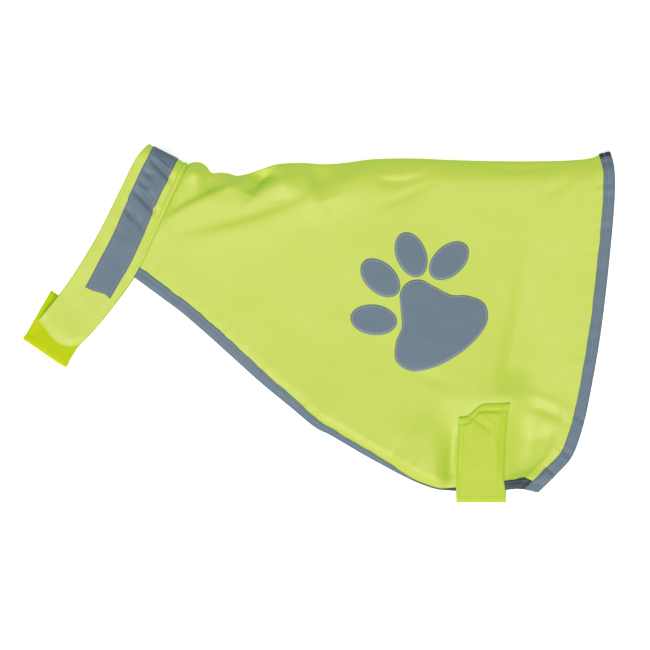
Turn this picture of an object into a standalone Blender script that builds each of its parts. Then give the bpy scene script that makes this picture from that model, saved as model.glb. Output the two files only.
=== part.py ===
"""High-visibility dog vest, fastened, folded along its spine and lying on its side.

The vest lies on a flat surface at z = 0 with its left side up, its neck towards -X and its
spine towards +Y. The origin is on that surface, under the middle of the vest's outline.
All sizes here are millimetres and degrees; mesh_object turns them into metres.

How it is built
  body_panel            one cloth, folded over at the spine: a near side on top, a far side below
  front_binding_*       tape folded over the front and belly edge of each side
  hem_binding           tape folded over the rear hem, from one belly corner over the spine
                        to the other
  collar_band           double cloth: near end, over the nape, far side, throat fold, tail
  collar_strip          reflective tape on the collar's outer side
  belly_strap           double cloth: sewn inside the far side, round the belly edges, up
                        over the near side
  *_hook, *_loop        the touch fastener pads that hold the collar and the strap shut
  paw_pad, paw_toe_*    reflective applique on the near side
"""

import math

import bmesh
import bpy
import numpy as np
from mathutils import Vector
from mathutils.bvhtree import BVHTree

MM = 0.001

# Cloths and gaps
CLOTH = 1.2            # body cloth
BAND = 2.0             # collar and strap, two layers sewn together
TAPE = 0.7             # one wall of the folded binding tape
STRIP = 0.8            # reflective strip and applique
PAD = 1.0              # one half of a touch fastener
GAP = 0.3              # between pieces that are sewn or pressed together
SEAM_GAP = 0.4         # between the collar's edge and the body's edge, seen from above
FOLD_SEAM_GAP = 1.3    # the same where both fold over at the nape

# Binding tape
BINDING_WIDTH = 11.0
GROOVE_DEPTH = 1.2     # from the tape's folded edge to the bottom of its groove
CLOTH_INSET = 1.9      # from the tape's folded edge to the cloth inside it
TAPE_END_GAP = 0.7     # between the belly edge's tape and the hem's tape

# Outline of the vest as it lies. X runs from neck to rear, Y from belly to spine.
SPINE = (              # x, y along the fold at the top
    (-124.3, 151.5), (-119.7, 153.3), (-112.1, 153.4), (-106.4, 149.6), (-101.7, 143.6),
    (-93.1, 143.9), (-85.5, 143.0), (-77.9, 140.9), (-69.4, 142.0), (-55.1, 146.8),
    (-40.9, 151.3), (-17.1, 153.0), (6.7, 151.7), (25.7, 153.0), (49.4, 156.2), (87.4, 157.2),
    (134.9, 155.4), (191.9, 154.4), (239.4, 155.3), (260.3, 157.6), (269.8, 161.3),
    (278.4, 163.4),
)
FRONT = (              # x, y along the front and belly edge, from the collar to the rear corner
    (-175.6, 44.9), (-150.1, 26.1), (-131.1, 11.9), (-112.1, -4.3), (-83.6, -29.9),
    (-55.1, -55.6), (-26.6, -78.9), (-1.9, -98.8), (11.4, -105.4), (39.9, -122.1),
    (58.9, -132.5), (80.0, -143.4), (97.9, -151.4), (114.0, -156.6), (131.1, -158.9),
    (155.8, -159.4), (177.7, -158.0), (192.0, -157.0), (209.6, -160.4),
)
REAR = (               # x, y along the rear hem, from the spine to the belly corner
    (278.4, 163.4), (281.2, 148.0), (281.8, 124.9), (277.4, 67.9), (268.4, -10.0),
    (258.4, -67.9), (252.7, -94.5), (241.3, -126.4), (226.1, -143.9), (209.6, -160.4),
)
COLLAR_FREE_EDGE = (   # x, y from the throat fold to the nape
    (-281.2, -13.3), (-266.0, 3.8), (-245.1, 29.0), (-226.1, 56.5), (-207.1, 88.8),
    (-188.1, 126.8), (-172.0, 158.4), (-161.5, 170.4),
)
COLLAR_SEAM_EDGE = (   # x, y from the throat fold to the nape; the last stretch joins the body
    (-240.4, -41.3), (-231.8, -25.2), (-216.6, -9.0), (-197.6, 13.8), (-178.6, 39.4),
    (-170.1, 53.2), (-147.3, 102.1), (-124.5, 151.5),
)
TAIL_END = ((-254.1, 31.8), (-213.3, 3.8))     # free-edge corner and seam-edge corner

# Heights. The far side lies on the surface, and the near side stands over it.
FAR_BODY = CLOTH / 2
FAR_COLLAR = BAND / 2
BINDING_LIFT = GAP + TAPE                      # raises the far side over its own binding
BINDING_LIFT_RUN = 13.0                        # the stretch in which it rises
NEAR_HEIGHTS = (       # share from neck to rear, height at the spine, control height
    (0.00, 20.0, 18.6),
    (0.15, 19.2, 14.0),
    (0.30, 18.4, 11.5),
    (0.60, 17.6, 10.5),
    (0.80, 17.2, 10.5),
    (1.00, 17.0, 11.5),
)
BELLY_EDGE = (         # share from neck to rear, height of the near edge, angle it turns down
    (0.00, 16.6, 1.0),
    (0.12, 13.0, 4.0),
    (0.30, 9.0, 12.0),
    (0.42, 7.4, 24.0),
    (0.50, 6.8, 38.0),
    (0.66, 6.4, 42.0),
    (0.71, 6.3, 56.0),
    (0.75, 6.3, 62.0),
    (0.85, 6.4, 62.0),
    (0.94, 6.6, 48.0),
    (1.00, 8.0, 30.0),
)
ROLL_ARC = 8.0         # length of cloth over which the edge turns down
HEM_FLAT, HEM_TURN = 12.0, 12.0        # no turn this near the hem, and where it begins
HEM_HEIGHTS = (        # share from spine to belly, height of the near side at the rear hem
    (0.00, 17.0), (0.30, 13.5), (0.60, 11.8), (0.85, 10.4), (0.95, 9.0), (1.00, 8.0),
)
HEM_BLEND = (0.16, 0.09)   # last share of the length that eases to the hem, at spine and belly
SPINE_FOLD_DEPTH = ((0.0, 13.0), (0.25, 15.0), (0.6, 22.0), (1.0, 24.0))   # share, depth
FAR_FOLD_DEPTH = 0.6   # the fold's far half is this share as deep
EDGE_ZONE = 27.0       # width of the edge's own rows on the near side
FAR_EDGE_ZONE = 24.0
ROW_CLUSTER = 0.06     # how far the near side's middle rows draw in to the belly and spine
BEFORE_HEM = 0.985     # the shared columns end this share of the way to the hem's own

# The belly strap and the bed that it presses into the near side
STRAP_X = 155.6
STRAP_WIDTH = 47.0
BED_TOP_Y, BED_TOP_Z = -72.0, 16.2
BED_LOW_Y, BED_LOW_Z = -160.0, 8.4
BED_HALF, BED_SIDE, BED_FADE = 26.0, 18.0, 34.0    # flat half width, side slopes, top fade
BED_SPREAD = 0.12                                  # the side slopes widen up the panel
STRAP_TAIL_Y = -75.5
STRAP_TURN_Y = -170.0                              # outermost face of the strap's turn
STRAP_INNER_END_Y = -118.0
STRAP_PAD_Y = (-120.0, -80.0)
STRAP_EASE_Y, STRAP_EASE_RUN = -128.0, 18.0        # where it comes down past its pads
STRAP_EDGE_Y = -160.0                              # where it starts to turn under
STRAP_TURN_DEPTH = 5.0
STRAP_INNER = (        # y, drop below its height over the far side's tape, as it runs inside
    (-161.8, 0.4), (-160.4, 0.0), (-147.0, 0.0), (-140.0, 0.8),
)
STRAP_INNER_LOW_Y = -131.0                         # where it lies on the far side's cloth
STRAP_PAD_HALF = 0.36                              # its pads' half width, as a share of its own

# Soft creases of the near side: a trough has a negative depth, a ridge a positive one.
CREASES = (            # x, y of start, middle and end, depth, half width
    ((-147.0, 107.0), (-112.0, 121.0), (-72.0, 138.0), -2.6, 6.0),
    ((-157.0, 80.0), (-84.0, 104.0), (12.0, 131.0), -2.0, 8.0),
    ((-143.0, 93.0), (-100.0, 112.0), (-40.0, 132.0), 1.6, 7.0),
    ((-66.0, 131.0), (-53.0, 134.0), (-40.0, 139.0), -4.0, 6.5),
    ((-12.0, 146.0), (4.0, 128.0), (28.0, 130.0), -3.2, 6.5),
    ((-24.0, 139.0), (-14.0, 122.0), (-8.0, 112.0), 1.8, 8.0),
    ((52.0, 141.0), (78.0, 131.0), (112.0, 149.0), -2.0, 5.0),
    ((182.0, -73.0), (214.0, -80.0), (240.0, -95.0), 1.6, 8.0),
)
BULGES = (             # x, y, height, half width of the puffs along the fold by the neck
    (-113.0, 141.0, 3.4, 9.0),
    (-88.0, 133.0, 2.2, 9.0),
)

# Collar
COLLAR_NEAR_START = 0.098      # share of its length at which the near end lies
COLLAR_END_HEIGHT, COLLAR_NAPE_HEIGHT = 14.8, 20.0
TAIL_HEIGHT = 9.6
NAPE_FOLD_DEPTH = 13.0
THROAT_BULGE = 4.3             # how far the throat fold stands out past its straight runs
END_CORNER = 0.045             # how far the near end's seam corner is rounded off
STRIP_EDGES = (                # share along the band, strip's two edges as shares of its width
    (0.288, 0.41, 0.92), (0.5, 0.36, 0.88), (0.75, 0.25, 0.82), (1.0, 0.15, 0.765),
)
STRIP_OVER_NAPE = 140.0        # how far round the nape the strip runs
COLLAR_PAD_SHARE = (0.125, 0.215)
COLLAR_PAD_ACROSS = (0.2, 0.8)

# Paw applique: a generic paw, laid out round its own axis
PAW_CENTRE = (115.0, -1.0)
PAW_TURN = 37.0                # its axis leans this far from +Y towards the neck
PAW_PAD_AT = (-3.0, 7.0)       # the pad's own middle, across and along the axis
PAW_PAD = (            # across, along the axis: one half, from the tip to the heel
    (0.0, 43.5), (11.0, 39.5), (18.5, 27.5), (27.5, 11.5), (41.0, 1.5), (50.0, -13.0),
    (44.0, -28.0), (25.0, -37.0), (0.0, -40.0),
)
PAW_TOES = (           # name, across, along, tilt of the toe's long axis
    ("paw_toe_1", -46.8, 41.5, 46.0),
    ("paw_toe_2", -18.5, 69.5, 10.0),
    ("paw_toe_3", 18.8, 69.5, -15.0),
    ("paw_toe_4", 44.0, 44.0, -84.0),
)
TOE_LONG, TOE_SHORT = 22.6, 14.6

# Colours, linear
LIME = (0.60, 0.76, 0.09)
SILVER = (0.16, 0.22, 0.27)
FASTENER = (0.55, 0.68, 0.03)


def smooth_curve(table):
    """A function of shares of length, for a Catmull-Rom curve through the table's points."""
    points = np.array(table, float)
    ends = np.vstack([2 * points[0] - points[1], points, 2 * points[-1] - points[-2]])
    knots = np.concatenate([[0], np.cumsum(np.linalg.norm(np.diff(ends, axis=0), axis=1) ** 0.5)])
    pieces = []
    for i in range(1, len(ends) - 2):
        t0, t1, t2, t3 = knots[i - 1:i + 3]
        p0, p1, p2, p3 = ends[i - 1:i + 3]
        t = np.linspace(t1, t2, 25)[:, None]
        a1 = ((t1 - t) * p0 + (t - t0) * p1) / (t1 - t0)
        a2 = ((t2 - t) * p1 + (t - t1) * p2) / (t2 - t1)
        a3 = ((t3 - t) * p2 + (t - t2) * p3) / (t3 - t2)
        b1 = ((t2 - t) * a1 + (t - t0) * a2) / (t2 - t0)
        b2 = ((t3 - t) * a2 + (t - t1) * a3) / (t3 - t1)
        pieces.append((((t2 - t) * b1 + (t - t1) * b2) / (t2 - t1))[:-1])
    line = np.vstack([*pieces, points[-1:]])
    along = np.concatenate([[0], np.cumsum(np.linalg.norm(np.diff(line, axis=0), axis=1))])

    def at(share):
        where = np.asarray(share, float) * along[-1]
        return np.stack([np.interp(where, along, line[:, k]) for k in range(2)], axis=-1)

    at.length = along[-1]
    return at


def table_at(table, value, column=1):
    """Reads a table at a value of its first column, with straight lines between its rows."""
    rows = np.array([(row[0], row[column]) for row in table], float)
    return np.interp(value, rows[:, 0], rows[:, 1])


def ease(value):
    """0 below 0, 1 above 1 and a smooth step between."""
    value = np.clip(value, 0, 1)
    return value * value * (3 - 2 * value)


spine_line = smooth_curve(SPINE)
front_line = smooth_curve(FRONT)
rear_line = smooth_curve(REAR)
free_edge = smooth_curve(COLLAR_FREE_EDGE)
seam_edge = smooth_curve(COLLAR_SEAM_EDGE)


def seam_share():
    """Share of the collar's seam edge at which the body's front corner is sewn on."""
    shares = np.linspace(0.3, 0.7, 400)
    off = np.linalg.norm(seam_edge(shares) - np.array(FRONT[0]), axis=1)
    return shares[off.argmin()]


NECK_CORNER = seam_share()


def neck_line(q):
    """The body's neck edge, from the spine to the front corner: the collar's seam edge."""
    return seam_edge(1 - (1 - NECK_CORNER) * np.asarray(q, float))


def plan(u, q):
    """x, y at share u from neck to rear and share q from spine to belly: a Coons patch."""
    u, q = np.broadcast_arrays(np.asarray(u, float), np.asarray(q, float))
    U, Q = u[..., None], q[..., None]
    corners = (
        (1 - U) * (1 - Q) * spine_line(0) + U * (1 - Q) * spine_line(1)
        + (1 - U) * Q * front_line(0) + U * Q * front_line(1)
    )
    return (
        (1 - Q) * spine_line(u) + Q * front_line(u)
        + (1 - U) * neck_line(q) + U * rear_line(q) - corners
    )


def span(u):
    """Distance from spine to belly edge at share u."""
    return np.linalg.norm(front_line(u) - spine_line(u), axis=-1)


def lean(edge_step, inward_step):
    """Distance along a grid line for each millimetre square to the edge that it meets."""
    cross = edge_step[..., 0] * inward_step[..., 1] - edge_step[..., 1] * inward_step[..., 0]
    size = np.linalg.norm(edge_step, axis=-1) * np.linalg.norm(inward_step, axis=-1)
    return size / np.maximum(np.abs(cross), 0.4 * size)


def belly_lean(u):
    step = 0.004
    u = np.clip(u, step, 1 - step)
    return lean(plan(u + step, 1) - plan(u - step, 1), plan(u, 1) - plan(u, 0.95))


def rear_lean(q):
    step = 0.004
    q = np.clip(q, step, 1 - step)
    return lean(rear_line(q + step) - rear_line(q - step), plan(1.0, q) - plan(0.95, q))


def rear_share(e, q):
    """Share u of the point that lies e inside the rear hem at share q."""
    inward = np.linalg.norm(plan(1.0, q) - plan(0.95, q), axis=-1)
    return 1 - e * rear_lean(q) * 0.05 / inward


def bed_across(x, y=BED_LOW_Y):
    """1 over the strap's bed and 0 past its side slopes."""
    side = BED_SIDE + BED_SPREAD * np.maximum(y - BED_LOW_Y, 0)
    return 1 - ease((np.abs(x - STRAP_X) - BED_HALF) / side)


def roll(u, e):
    """How far inside the outline the cloth lies that is e from the belly edge, and its drop.

    The edge's tape is straight, at the roll's angle. Above it the cloth turns on an arc.
    """
    flat = 1 - bed_across(front_line(u)[..., 0])
    to_rear = (1 - u) * front_line.length - HEM_FLAT
    angle = np.radians(table_at(BELLY_EDGE, u, 2)) * flat * ease(to_rear / HEM_TURN)
    angle = np.maximum(angle, 0.002)
    turned = angle * np.clip((BINDING_WIDTH + ROLL_ARC - e) / ROLL_ARC, 0, 1)
    on_tape = np.minimum(e, BINDING_WIDTH)
    inside = (
        on_tape * np.cos(angle)
        + ROLL_ARC / angle * (np.sin(angle) - np.sin(turned))
        + np.maximum(e - BINDING_WIDTH - ROLL_ARC, 0)
    )
    drop = ROLL_ARC / angle * (1 - np.cos(turned)) + (BINDING_WIDTH - on_tape) * np.sin(angle)
    return inside, drop


def crease_height(x, y):
    """Sum of the soft creases and puffs: Gaussian across, tapered to nothing at each end."""
    total = np.zeros_like(x)
    t = np.linspace(0, 1, 25)[:, None]
    for start, middle, end, depth, half in CREASES:
        start, middle, end = (np.array(p) for p in (start, middle, end))
        line = (1 - t) ** 2 * start + 2 * t * (1 - t) * middle + t ** 2 * end
        off = np.hypot(x[..., None] - line[:, 0], y[..., None] - line[:, 1])
        near = off.argmin(-1)
        taper = np.sin(np.pi * np.clip(t[near, 0], 0.04, 0.96)) ** 0.7
        total += depth * taper * np.exp(-((off.min(-1) / half) ** 2))
    for cx, cy, height, half in BULGES:
        total += height * np.exp(-((np.hypot(x - cx, y - cy) / half) ** 2))
    return total


def bed_height(y):
    """Height of the near side's middle surface under the strap."""
    slope = (BED_TOP_Z - BED_LOW_Z) / (BED_TOP_Y - BED_LOW_Y)
    return BED_LOW_Z + slope * (np.minimum(y, BED_TOP_Y) - BED_LOW_Y)


def near_height(u, q, x, y, drop):
    """Height of the near side's middle surface, which drops by the edge's turn."""
    top, control = (table_at(NEAR_HEIGHTS, u, k) for k in (1, 2))
    belly = table_at(BELLY_EDGE, u) + roll(u, 0.0)[1]
    base = (1 - q) ** 2 * top + 2 * q * (1 - q) * control + q ** 2 * belly - drop
    blend = HEM_BLEND[0] + (HEM_BLEND[1] - HEM_BLEND[0]) * q
    hem = ease((u - 1 + blend) / blend)
    base = base + hem * (table_at(HEM_HEIGHTS, q) - base) + crease_height(x, y)
    in_bed = bed_across(x, y) * (1 - ease((y - BED_TOP_Y) / BED_FADE))
    return base * (1 - in_bed) + bed_height(y) * in_bed


# The body's rows, from the near belly edge over the spine to the far belly edge. A row is a
# zone and a value: "edge" is millimetres from the belly edge, "middle" a share of the stretch
# between the zones, and "fold" degrees round the spine's fold.
NEAR_ROWS = (
    [("edge", e) for e in (CLOTH_INSET, 6.0, 11.5, 15.0, 19.0, EDGE_ZONE)]
    + [("middle", 1 - t + ROW_CLUSTER * math.sin(2 * math.pi * t)) for t in np.arange(1, 18) / 18]
    + [("fold", angle) for angle in (90.0, 60.0, 30.0, 0.0)]
)
FAR_ROWS = (
    [("fold", angle) for angle in (35.0, 65.0, 90.0)]
    + [("middle", share) for share in (0.3, 0.65)]
    + [("edge", e) for e in (FAR_EDGE_ZONE, 11.5, 6.0, CLOTH_INSET)]
)


def from_spine(side, row, u):
    """Distance from the spine's outline to the row, seen from above, and the row's drop."""
    zone, value = row
    across = span(u)
    fold = table_at(SPINE_FOLD_DEPTH, u) * (1 if side == "near" else FAR_FOLD_DEPTH)
    if zone == "fold":
        return fold * (1 - math.cos(math.radians(value))), 0 * u
    if side == "near":
        inside, drop = roll(u, value if zone == "edge" else EDGE_ZONE)
    else:
        inside, drop = (value if zone == "edge" else FAR_EDGE_ZONE) + 0 * u, 0 * u
    edge = across - inside * belly_lean(u)
    if zone == "edge":
        return edge, drop
    return fold + value * (edge - fold), 0 * u


def body_row(side, row, u):
    """Points of the body's middle surface along one row, at shares u from neck to rear."""
    u = np.asarray(u, float)
    zone, value = row
    down, drop = from_spine(side, row, u)
    q = down / span(u)
    at = plan(u, q)
    x, y = at[..., 0], at[..., 1]
    near_top = near_height(u, q, x, y, drop)
    middle = (near_top + FAR_BODY) / 2
    turn = math.sin(math.radians(value)) if zone == "fold" else 1.0
    if side == "near":
        z = middle + (near_top - middle) * turn
    else:
        z = middle - (middle - FAR_BODY) * turn
        rear = np.linalg.norm(plan(1.0, q) - at, axis=-1) / rear_lean(q)
        belly = (span(u) - down) / belly_lean(u)
        lift = 1 - ease((np.minimum(rear, belly) - BINDING_WIDTH) / BINDING_LIFT_RUN)
        z = z + BINDING_LIFT * lift * turn
    return np.stack([x, y, z], axis=-1)


def row_share(side, row):
    """Share q of a row at the rear hem."""
    u = np.array([1.0])
    return float((from_spine(side, row, u)[0] / span(u))[0])


def body_rows():
    """Every row as (side, row), in order."""
    return [("near", r) for r in NEAR_ROWS] + [("far", r) for r in FAR_ROWS]


def columns():
    """Shares from neck to rear: close together by the neck and the strap."""
    stops = ((0.0, 0), (0.28, 16), (0.72, 11), (0.96, 23))
    shares = [0.0]
    for (a, _), (b, count) in zip(stops, stops[1:]):
        shares += [a + (b - a) * (i + 1) / count for i in range(count)]
    return np.array(shares)


REAR_INSETS = (11.5, 6.0, CLOTH_INSET)


def seam_start(row):
    """Share u at which a row starts, beside the collar."""
    zone, value = row
    fold = math.cos(math.radians(value)) if zone == "fold" else 0.0
    return (SEAM_GAP + (FOLD_SEAM_GAP - SEAM_GAP) * fold) / 2 / spine_line.length


def shared_columns(side, row):
    """Shares u of a row's columns up to the hem's zone, the same for every row of an edge."""
    zone = EDGE_ZONE if side == "near" else FAR_EDGE_ZONE
    q = min(row_share(side, row), row_share(side, ("edge", zone)))
    u = columns()
    u *= rear_share(REAR_INSETS[0], q) * BEFORE_HEM / u[-1]
    u[0] = seam_start(row)
    return u


def body_points(insets=REAR_INSETS):
    """The body's middle surface as rows of columns, with columns at insets from the hem."""
    grid = []
    for side, row in body_rows():
        last = [rear_share(e, row_share(side, row)) for e in insets]
        grid.append(body_row(side, row, np.append(shared_columns(side, row), last)))
    return np.array(grid)


def normals(points):
    """Unit normals of a grid of points, by central differences."""
    d_row = np.gradient(points, axis=0)
    d_column = np.gradient(points, axis=1)
    n = np.cross(d_row, d_column)
    return n / np.maximum(np.linalg.norm(n, axis=-1, keepdims=True), 1e-9)


def material(name, colour, roughness, metallic=0.0):
    made = bpy.data.materials.new(name)
    made.use_nodes = True
    shader = made.node_tree.nodes["Principled BSDF"]
    shader.inputs["Base Color"].default_value = (*colour, 1)
    shader.inputs["Roughness"].default_value = roughness
    shader.inputs["Metallic"].default_value = metallic
    return made


def mesh_object(name, points, faces, finish):
    """An object with this mesh, its points given in millimetres."""
    mesh = bpy.data.meshes.new(name)
    built = bmesh.new()
    verts = [built.verts.new(Vector(p) * MM) for p in points]
    for face in faces:
        built.faces.new([verts[i] for i in face])
    bmesh.ops.recalc_face_normals(built, faces=built.faces)
    built.to_mesh(mesh)
    built.free()
    mesh.shade_smooth()
    mesh.set_sharp_from_angle(angle=math.radians(40))
    mesh.materials.append(finish)
    obj = bpy.data.objects.new(name, mesh)
    bpy.context.scene.collection.objects.link(obj)
    return obj


def wall(name, under, over, finish):
    """A closed wall between two grids of points, under and over, of the same shape."""
    rows, cols = under.shape[:2]
    points = np.concatenate([under.reshape(-1, 3), over.reshape(-1, 3)])
    lift = rows * cols

    def at(i, j, top):
        return i * cols + j + lift * top

    faces = []
    for i in range(rows - 1):
        for j in range(cols - 1):
            for top in (0, 1):
                a, b = at(i, j, top), at(i, j + 1, top)
                c, d = at(i + 1, j + 1, top), at(i + 1, j, top)
                faces += [[a, b, c], [a, c, d]]
    rim = (
        [(0, j) for j in range(cols)] + [(i, cols - 1) for i in range(1, rows)]
        + [(rows - 1, j) for j in range(cols - 2, -1, -1)] + [(i, 0) for i in range(rows - 2, 0, -1)]
    )
    for (i, j), (k, l) in zip(rim, rim[1:] + rim[:1]):
        faces.append([at(i, j, 0), at(k, l, 0), at(k, l, 1), at(i, j, 1)])
    return mesh_object(name, points, faces, finish)


def cloth_wall(name, points, thickness, finish):
    """A wall of even thickness about a middle surface."""
    out = normals(points) * thickness / 2
    return wall(name, points - out, points + out, finish)


# The tape's section: millimetres from its folded edge, and offset from the cloth's middle.
FACE_IN = CLOTH / 2 + GAP
FACE_OUT = FACE_IN + TAPE
TAPE_SECTION = (
    (BINDING_WIDTH, FACE_IN), (BINDING_WIDTH, FACE_OUT), (6.0, FACE_OUT), (1.0, FACE_OUT),
    (0.0, FACE_OUT * 0.55), (0.0, -FACE_OUT * 0.55), (1.0, -FACE_OUT), (6.0, -FACE_OUT),
    (BINDING_WIDTH, -FACE_OUT), (BINDING_WIDTH, -FACE_IN), (6.0, -FACE_IN),
    (GROOVE_DEPTH, -FACE_IN), (GROOVE_DEPTH, FACE_IN), (6.0, FACE_IN),
)
TAPE_INSETS = (0.0, 1.0, GROOVE_DEPTH, 6.0, BINDING_WIDTH)


def binding(name, strips, finish, split_inward):
    """Folded tape. strips has one line of points for each of TAPE_INSETS.

    split_inward says which way its faces are cut in two, to match the cloth's own faces.
    """
    out = normals(strips)
    if out[2, len(out[0]) // 3, 2] * (1 if "far" not in name else -1) < 0:
        out = -out
    rings = []
    for inset, offset in TAPE_SECTION:
        k = TAPE_INSETS.index(inset)
        rings.append(strips[k] + out[k] * offset)
    rings = np.array(rings)
    sides, stations = rings.shape[:2]
    faces = []
    for s in range(sides):
        t = (s + 1) % sides
        if (TAPE_SECTION[s][0] > TAPE_SECTION[t][0]) == split_inward:
            s, t = t, s
        for j in range(stations - 1):
            a, b = s * stations + j, t * stations + j
            faces += [[a, b, b + 1], [a, b + 1, a + 1]]
    quads = ((0, 1, 2, 13), (13, 2, 3, 12), (12, 3, 4, 5), (12, 5, 6, 11), (11, 6, 7, 10),
             (10, 7, 8, 9))
    for end in (0, stations - 1):
        faces += [[k * stations + end for k in quad] for quad in quads]
    return mesh_object(name, rings.reshape(-1, 3), faces, finish)


def front_binding(side, finish):
    """Tape on the front and belly edge of one side, from the collar to the hem's tape."""
    strips = []
    for inset in TAPE_INSETS:
        row = ("edge", inset)
        last = rear_share(BINDING_WIDTH + TAPE_END_GAP, row_share(side, row))
        strips.append(body_row(side, row, np.append(shared_columns(side, row), last)))
    return binding("front_binding_" + side, np.array(strips), finish, side == "near")


def hem_binding(finish):
    """Tape on the rear hem, from the near belly corner over the spine to the far one."""
    rows = body_rows()
    rows = [("near", ("edge", 0.0))] + rows + [("far", ("edge", 0.0))]
    strips = []
    for inset in TAPE_INSETS:
        line = []
        for side, row in rows:
            line.append(body_row(side, row, [rear_share(inset, row_share(side, row))])[0])
        strips.append(line)
    return binding("hem_binding", np.array(strips), finish, False)


def collar_height(p):
    """Height of the collar's near side at share p of its length."""
    rise = (p - COLLAR_NEAR_START) / (1 - COLLAR_NEAR_START)
    return COLLAR_END_HEIGHT + (COLLAR_NAPE_HEIGHT - COLLAR_END_HEIGHT) * rise


def across_collar(p, w):
    """x, y at share p from throat to nape and share w from the free edge to the seam."""
    p, w = np.broadcast_arrays(np.asarray(p, float), np.asarray(w, float))
    return free_edge(p) + w[..., None] * (seam_edge(p) - free_edge(p))


def shifted_from_seam(points, first_fold, last_fold):
    """Moves the collar's points off the body by half the seam's gap."""
    away = points[:, 0, :2] - points[:, -1, :2]
    away = away / np.linalg.norm(away, axis=1, keepdims=True)
    gap = np.full((len(points), 1), SEAM_GAP)
    gap[first_fold:last_fold] = FOLD_SEAM_GAP
    points[:, -1, :2] += away * gap / 2
    return points


def collar_points(w, near_count=18, far_count=14, nape_step=22.5, first=COLLAR_NEAR_START):
    """The collar's middle surface, from its near end over the nape and throat to its tail."""
    w = np.asarray(w, float)
    rows = []
    nape = 1 - NAPE_FOLD_DEPTH / seam_edge.length
    for p in np.linspace(first, nape, near_count):
        ease_end = np.clip(1 - (p - first) / 0.2, 0, 1)
        corner = END_CORNER * ease((w - 0.62) / 0.38) ** 1.5 * ease_end
        at = across_collar(p + corner, w)
        rows.append(np.column_stack([at, np.full(len(w), collar_height(p))]))
    middle = (collar_height(nape) + FAR_COLLAR) / 2
    radius = middle - FAR_COLLAR
    first_fold = len(rows)
    for angle in np.arange(nape_step, 180.0, nape_step):
        turn = math.radians(angle)
        at = across_collar(nape + (1 - nape) * math.sin(turn), w)
        rows.append(np.column_stack([at, np.full(len(w), middle + radius * math.cos(turn))]))
    last_fold = len(rows)
    far_end = THROAT_BULGE / free_edge.length
    for p in np.linspace(nape, far_end, far_count):
        rows.append(np.column_stack([across_collar(p, w), np.full(len(w), FAR_COLLAR)]))
    tail_middle = (TAIL_HEIGHT + FAR_COLLAR) / 2
    tail_radius = tail_middle - FAR_COLLAR
    for angle in np.arange(30.0, 180.0, 30.0):
        turn = math.radians(angle)
        at = across_collar(far_end * (1 - math.sin(turn)), w)
        rows.append(np.column_stack([at, np.full(len(w), tail_middle - tail_radius * math.cos(turn))]))
    start = across_collar(far_end, w)
    corners = np.array(TAIL_END)
    end = corners[0] + w[:, None] * (corners[1] - corners[0])
    for share in np.linspace(0, 1, 5):
        rows.append(np.column_stack([start + share * (end - start), np.full(len(w), TAIL_HEIGHT)]))
    return shifted_from_seam(np.array(rows), first_fold, last_fold)


def collar_strip(finish):
    """Reflective tape on the collar's outer face, ending part of the way round the nape."""
    nape = 1 - NAPE_FOLD_DEPTH / seam_edge.length
    middle = (collar_height(nape) + FAR_COLLAR) / 2
    radius = middle - FAR_COLLAR
    stations = [(p, collar_height(p)) for p in np.linspace(STRIP_EDGES[0][0], nape, 14)]
    for angle in np.arange(22.5, STRIP_OVER_NAPE, 22.5):
        turn = math.radians(angle)
        stations.append((nape + (1 - nape) * math.sin(turn), middle + radius * math.cos(turn)))
    rows = []
    for p, z in stations:
        edges = [table_at(STRIP_EDGES, p, k) for k in (1, 2)]
        w = np.linspace(edges[0], edges[1], 4)
        rows.append(np.column_stack([across_collar(p, w), np.full(len(w), z)]))
    rows = np.array(rows)
    out = normals(rows)
    out = out if out[0, 0, 2] > 0 else -out
    low = BAND / 2 + GAP
    return wall("collar_strip", rows + out * low, rows + out * (low + STRIP), finish)


def collar_pads(finish):
    """Loop pad on the tail's upper face, and hook pad under the near end."""
    made = []
    heights = (
        ("collar_loop", TAIL_HEIGHT + BAND / 2 + GAP),
        ("collar_hook", TAIL_HEIGHT + BAND / 2 + 2 * GAP + PAD),
    )
    p = np.linspace(*COLLAR_PAD_SHARE, 4)
    w = np.linspace(*COLLAR_PAD_ACROSS, 4)
    at = across_collar(p[:, None], w[None, :])
    for name, z in heights:
        under = np.concatenate([at, np.full((4, 4, 1), z)], axis=-1)
        over = under + np.array([0, 0, PAD])
        made.append(wall(name, under, over, finish))
    return made


STRAP_OVER_PADS = CLOTH / 2 + 3 * GAP + 2 * PAD + BAND / 2
STRAP_OVER_TAPE = FACE_OUT + GAP + BAND / 2
STRAP_INNER_LOW = FAR_BODY + CLOTH / 2 + GAP + BAND / 2
STRAP_INNER_OVER_TAPE = FAR_BODY + BINDING_LIFT + FACE_OUT + GAP + BAND / 2


def strap_profile():
    """y, z along the middle of the strap, from its tail over the belly edge to its sewn end."""
    line = []
    for y in np.linspace(STRAP_TAIL_Y, STRAP_EDGE_Y, 13):
        eased = ease((STRAP_EASE_Y - y) / STRAP_EASE_RUN)
        over = STRAP_OVER_PADS + (STRAP_OVER_TAPE - STRAP_OVER_PADS) * eased
        line.append((y, bed_height(y) + over))
    top_z, low_z = line[-1][1] - 0.5, STRAP_INNER_LOW - 0.2
    turn_y = STRAP_TURN_Y + BAND / 2
    for angle in np.arange(0.0, 181.0, 22.5):
        turn = math.radians(angle)
        z = (top_z + low_z) / 2 + (top_z - low_z) / 2 * math.cos(turn)
        line.append((turn_y + STRAP_TURN_DEPTH * (1 - math.sin(turn)), z))
    line += [(y, STRAP_INNER_OVER_TAPE - drop) for y, drop in STRAP_INNER]
    line += [(y, STRAP_INNER_LOW) for y in (STRAP_INNER_LOW_Y, STRAP_INNER_END_Y)]
    return np.array(line)


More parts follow.
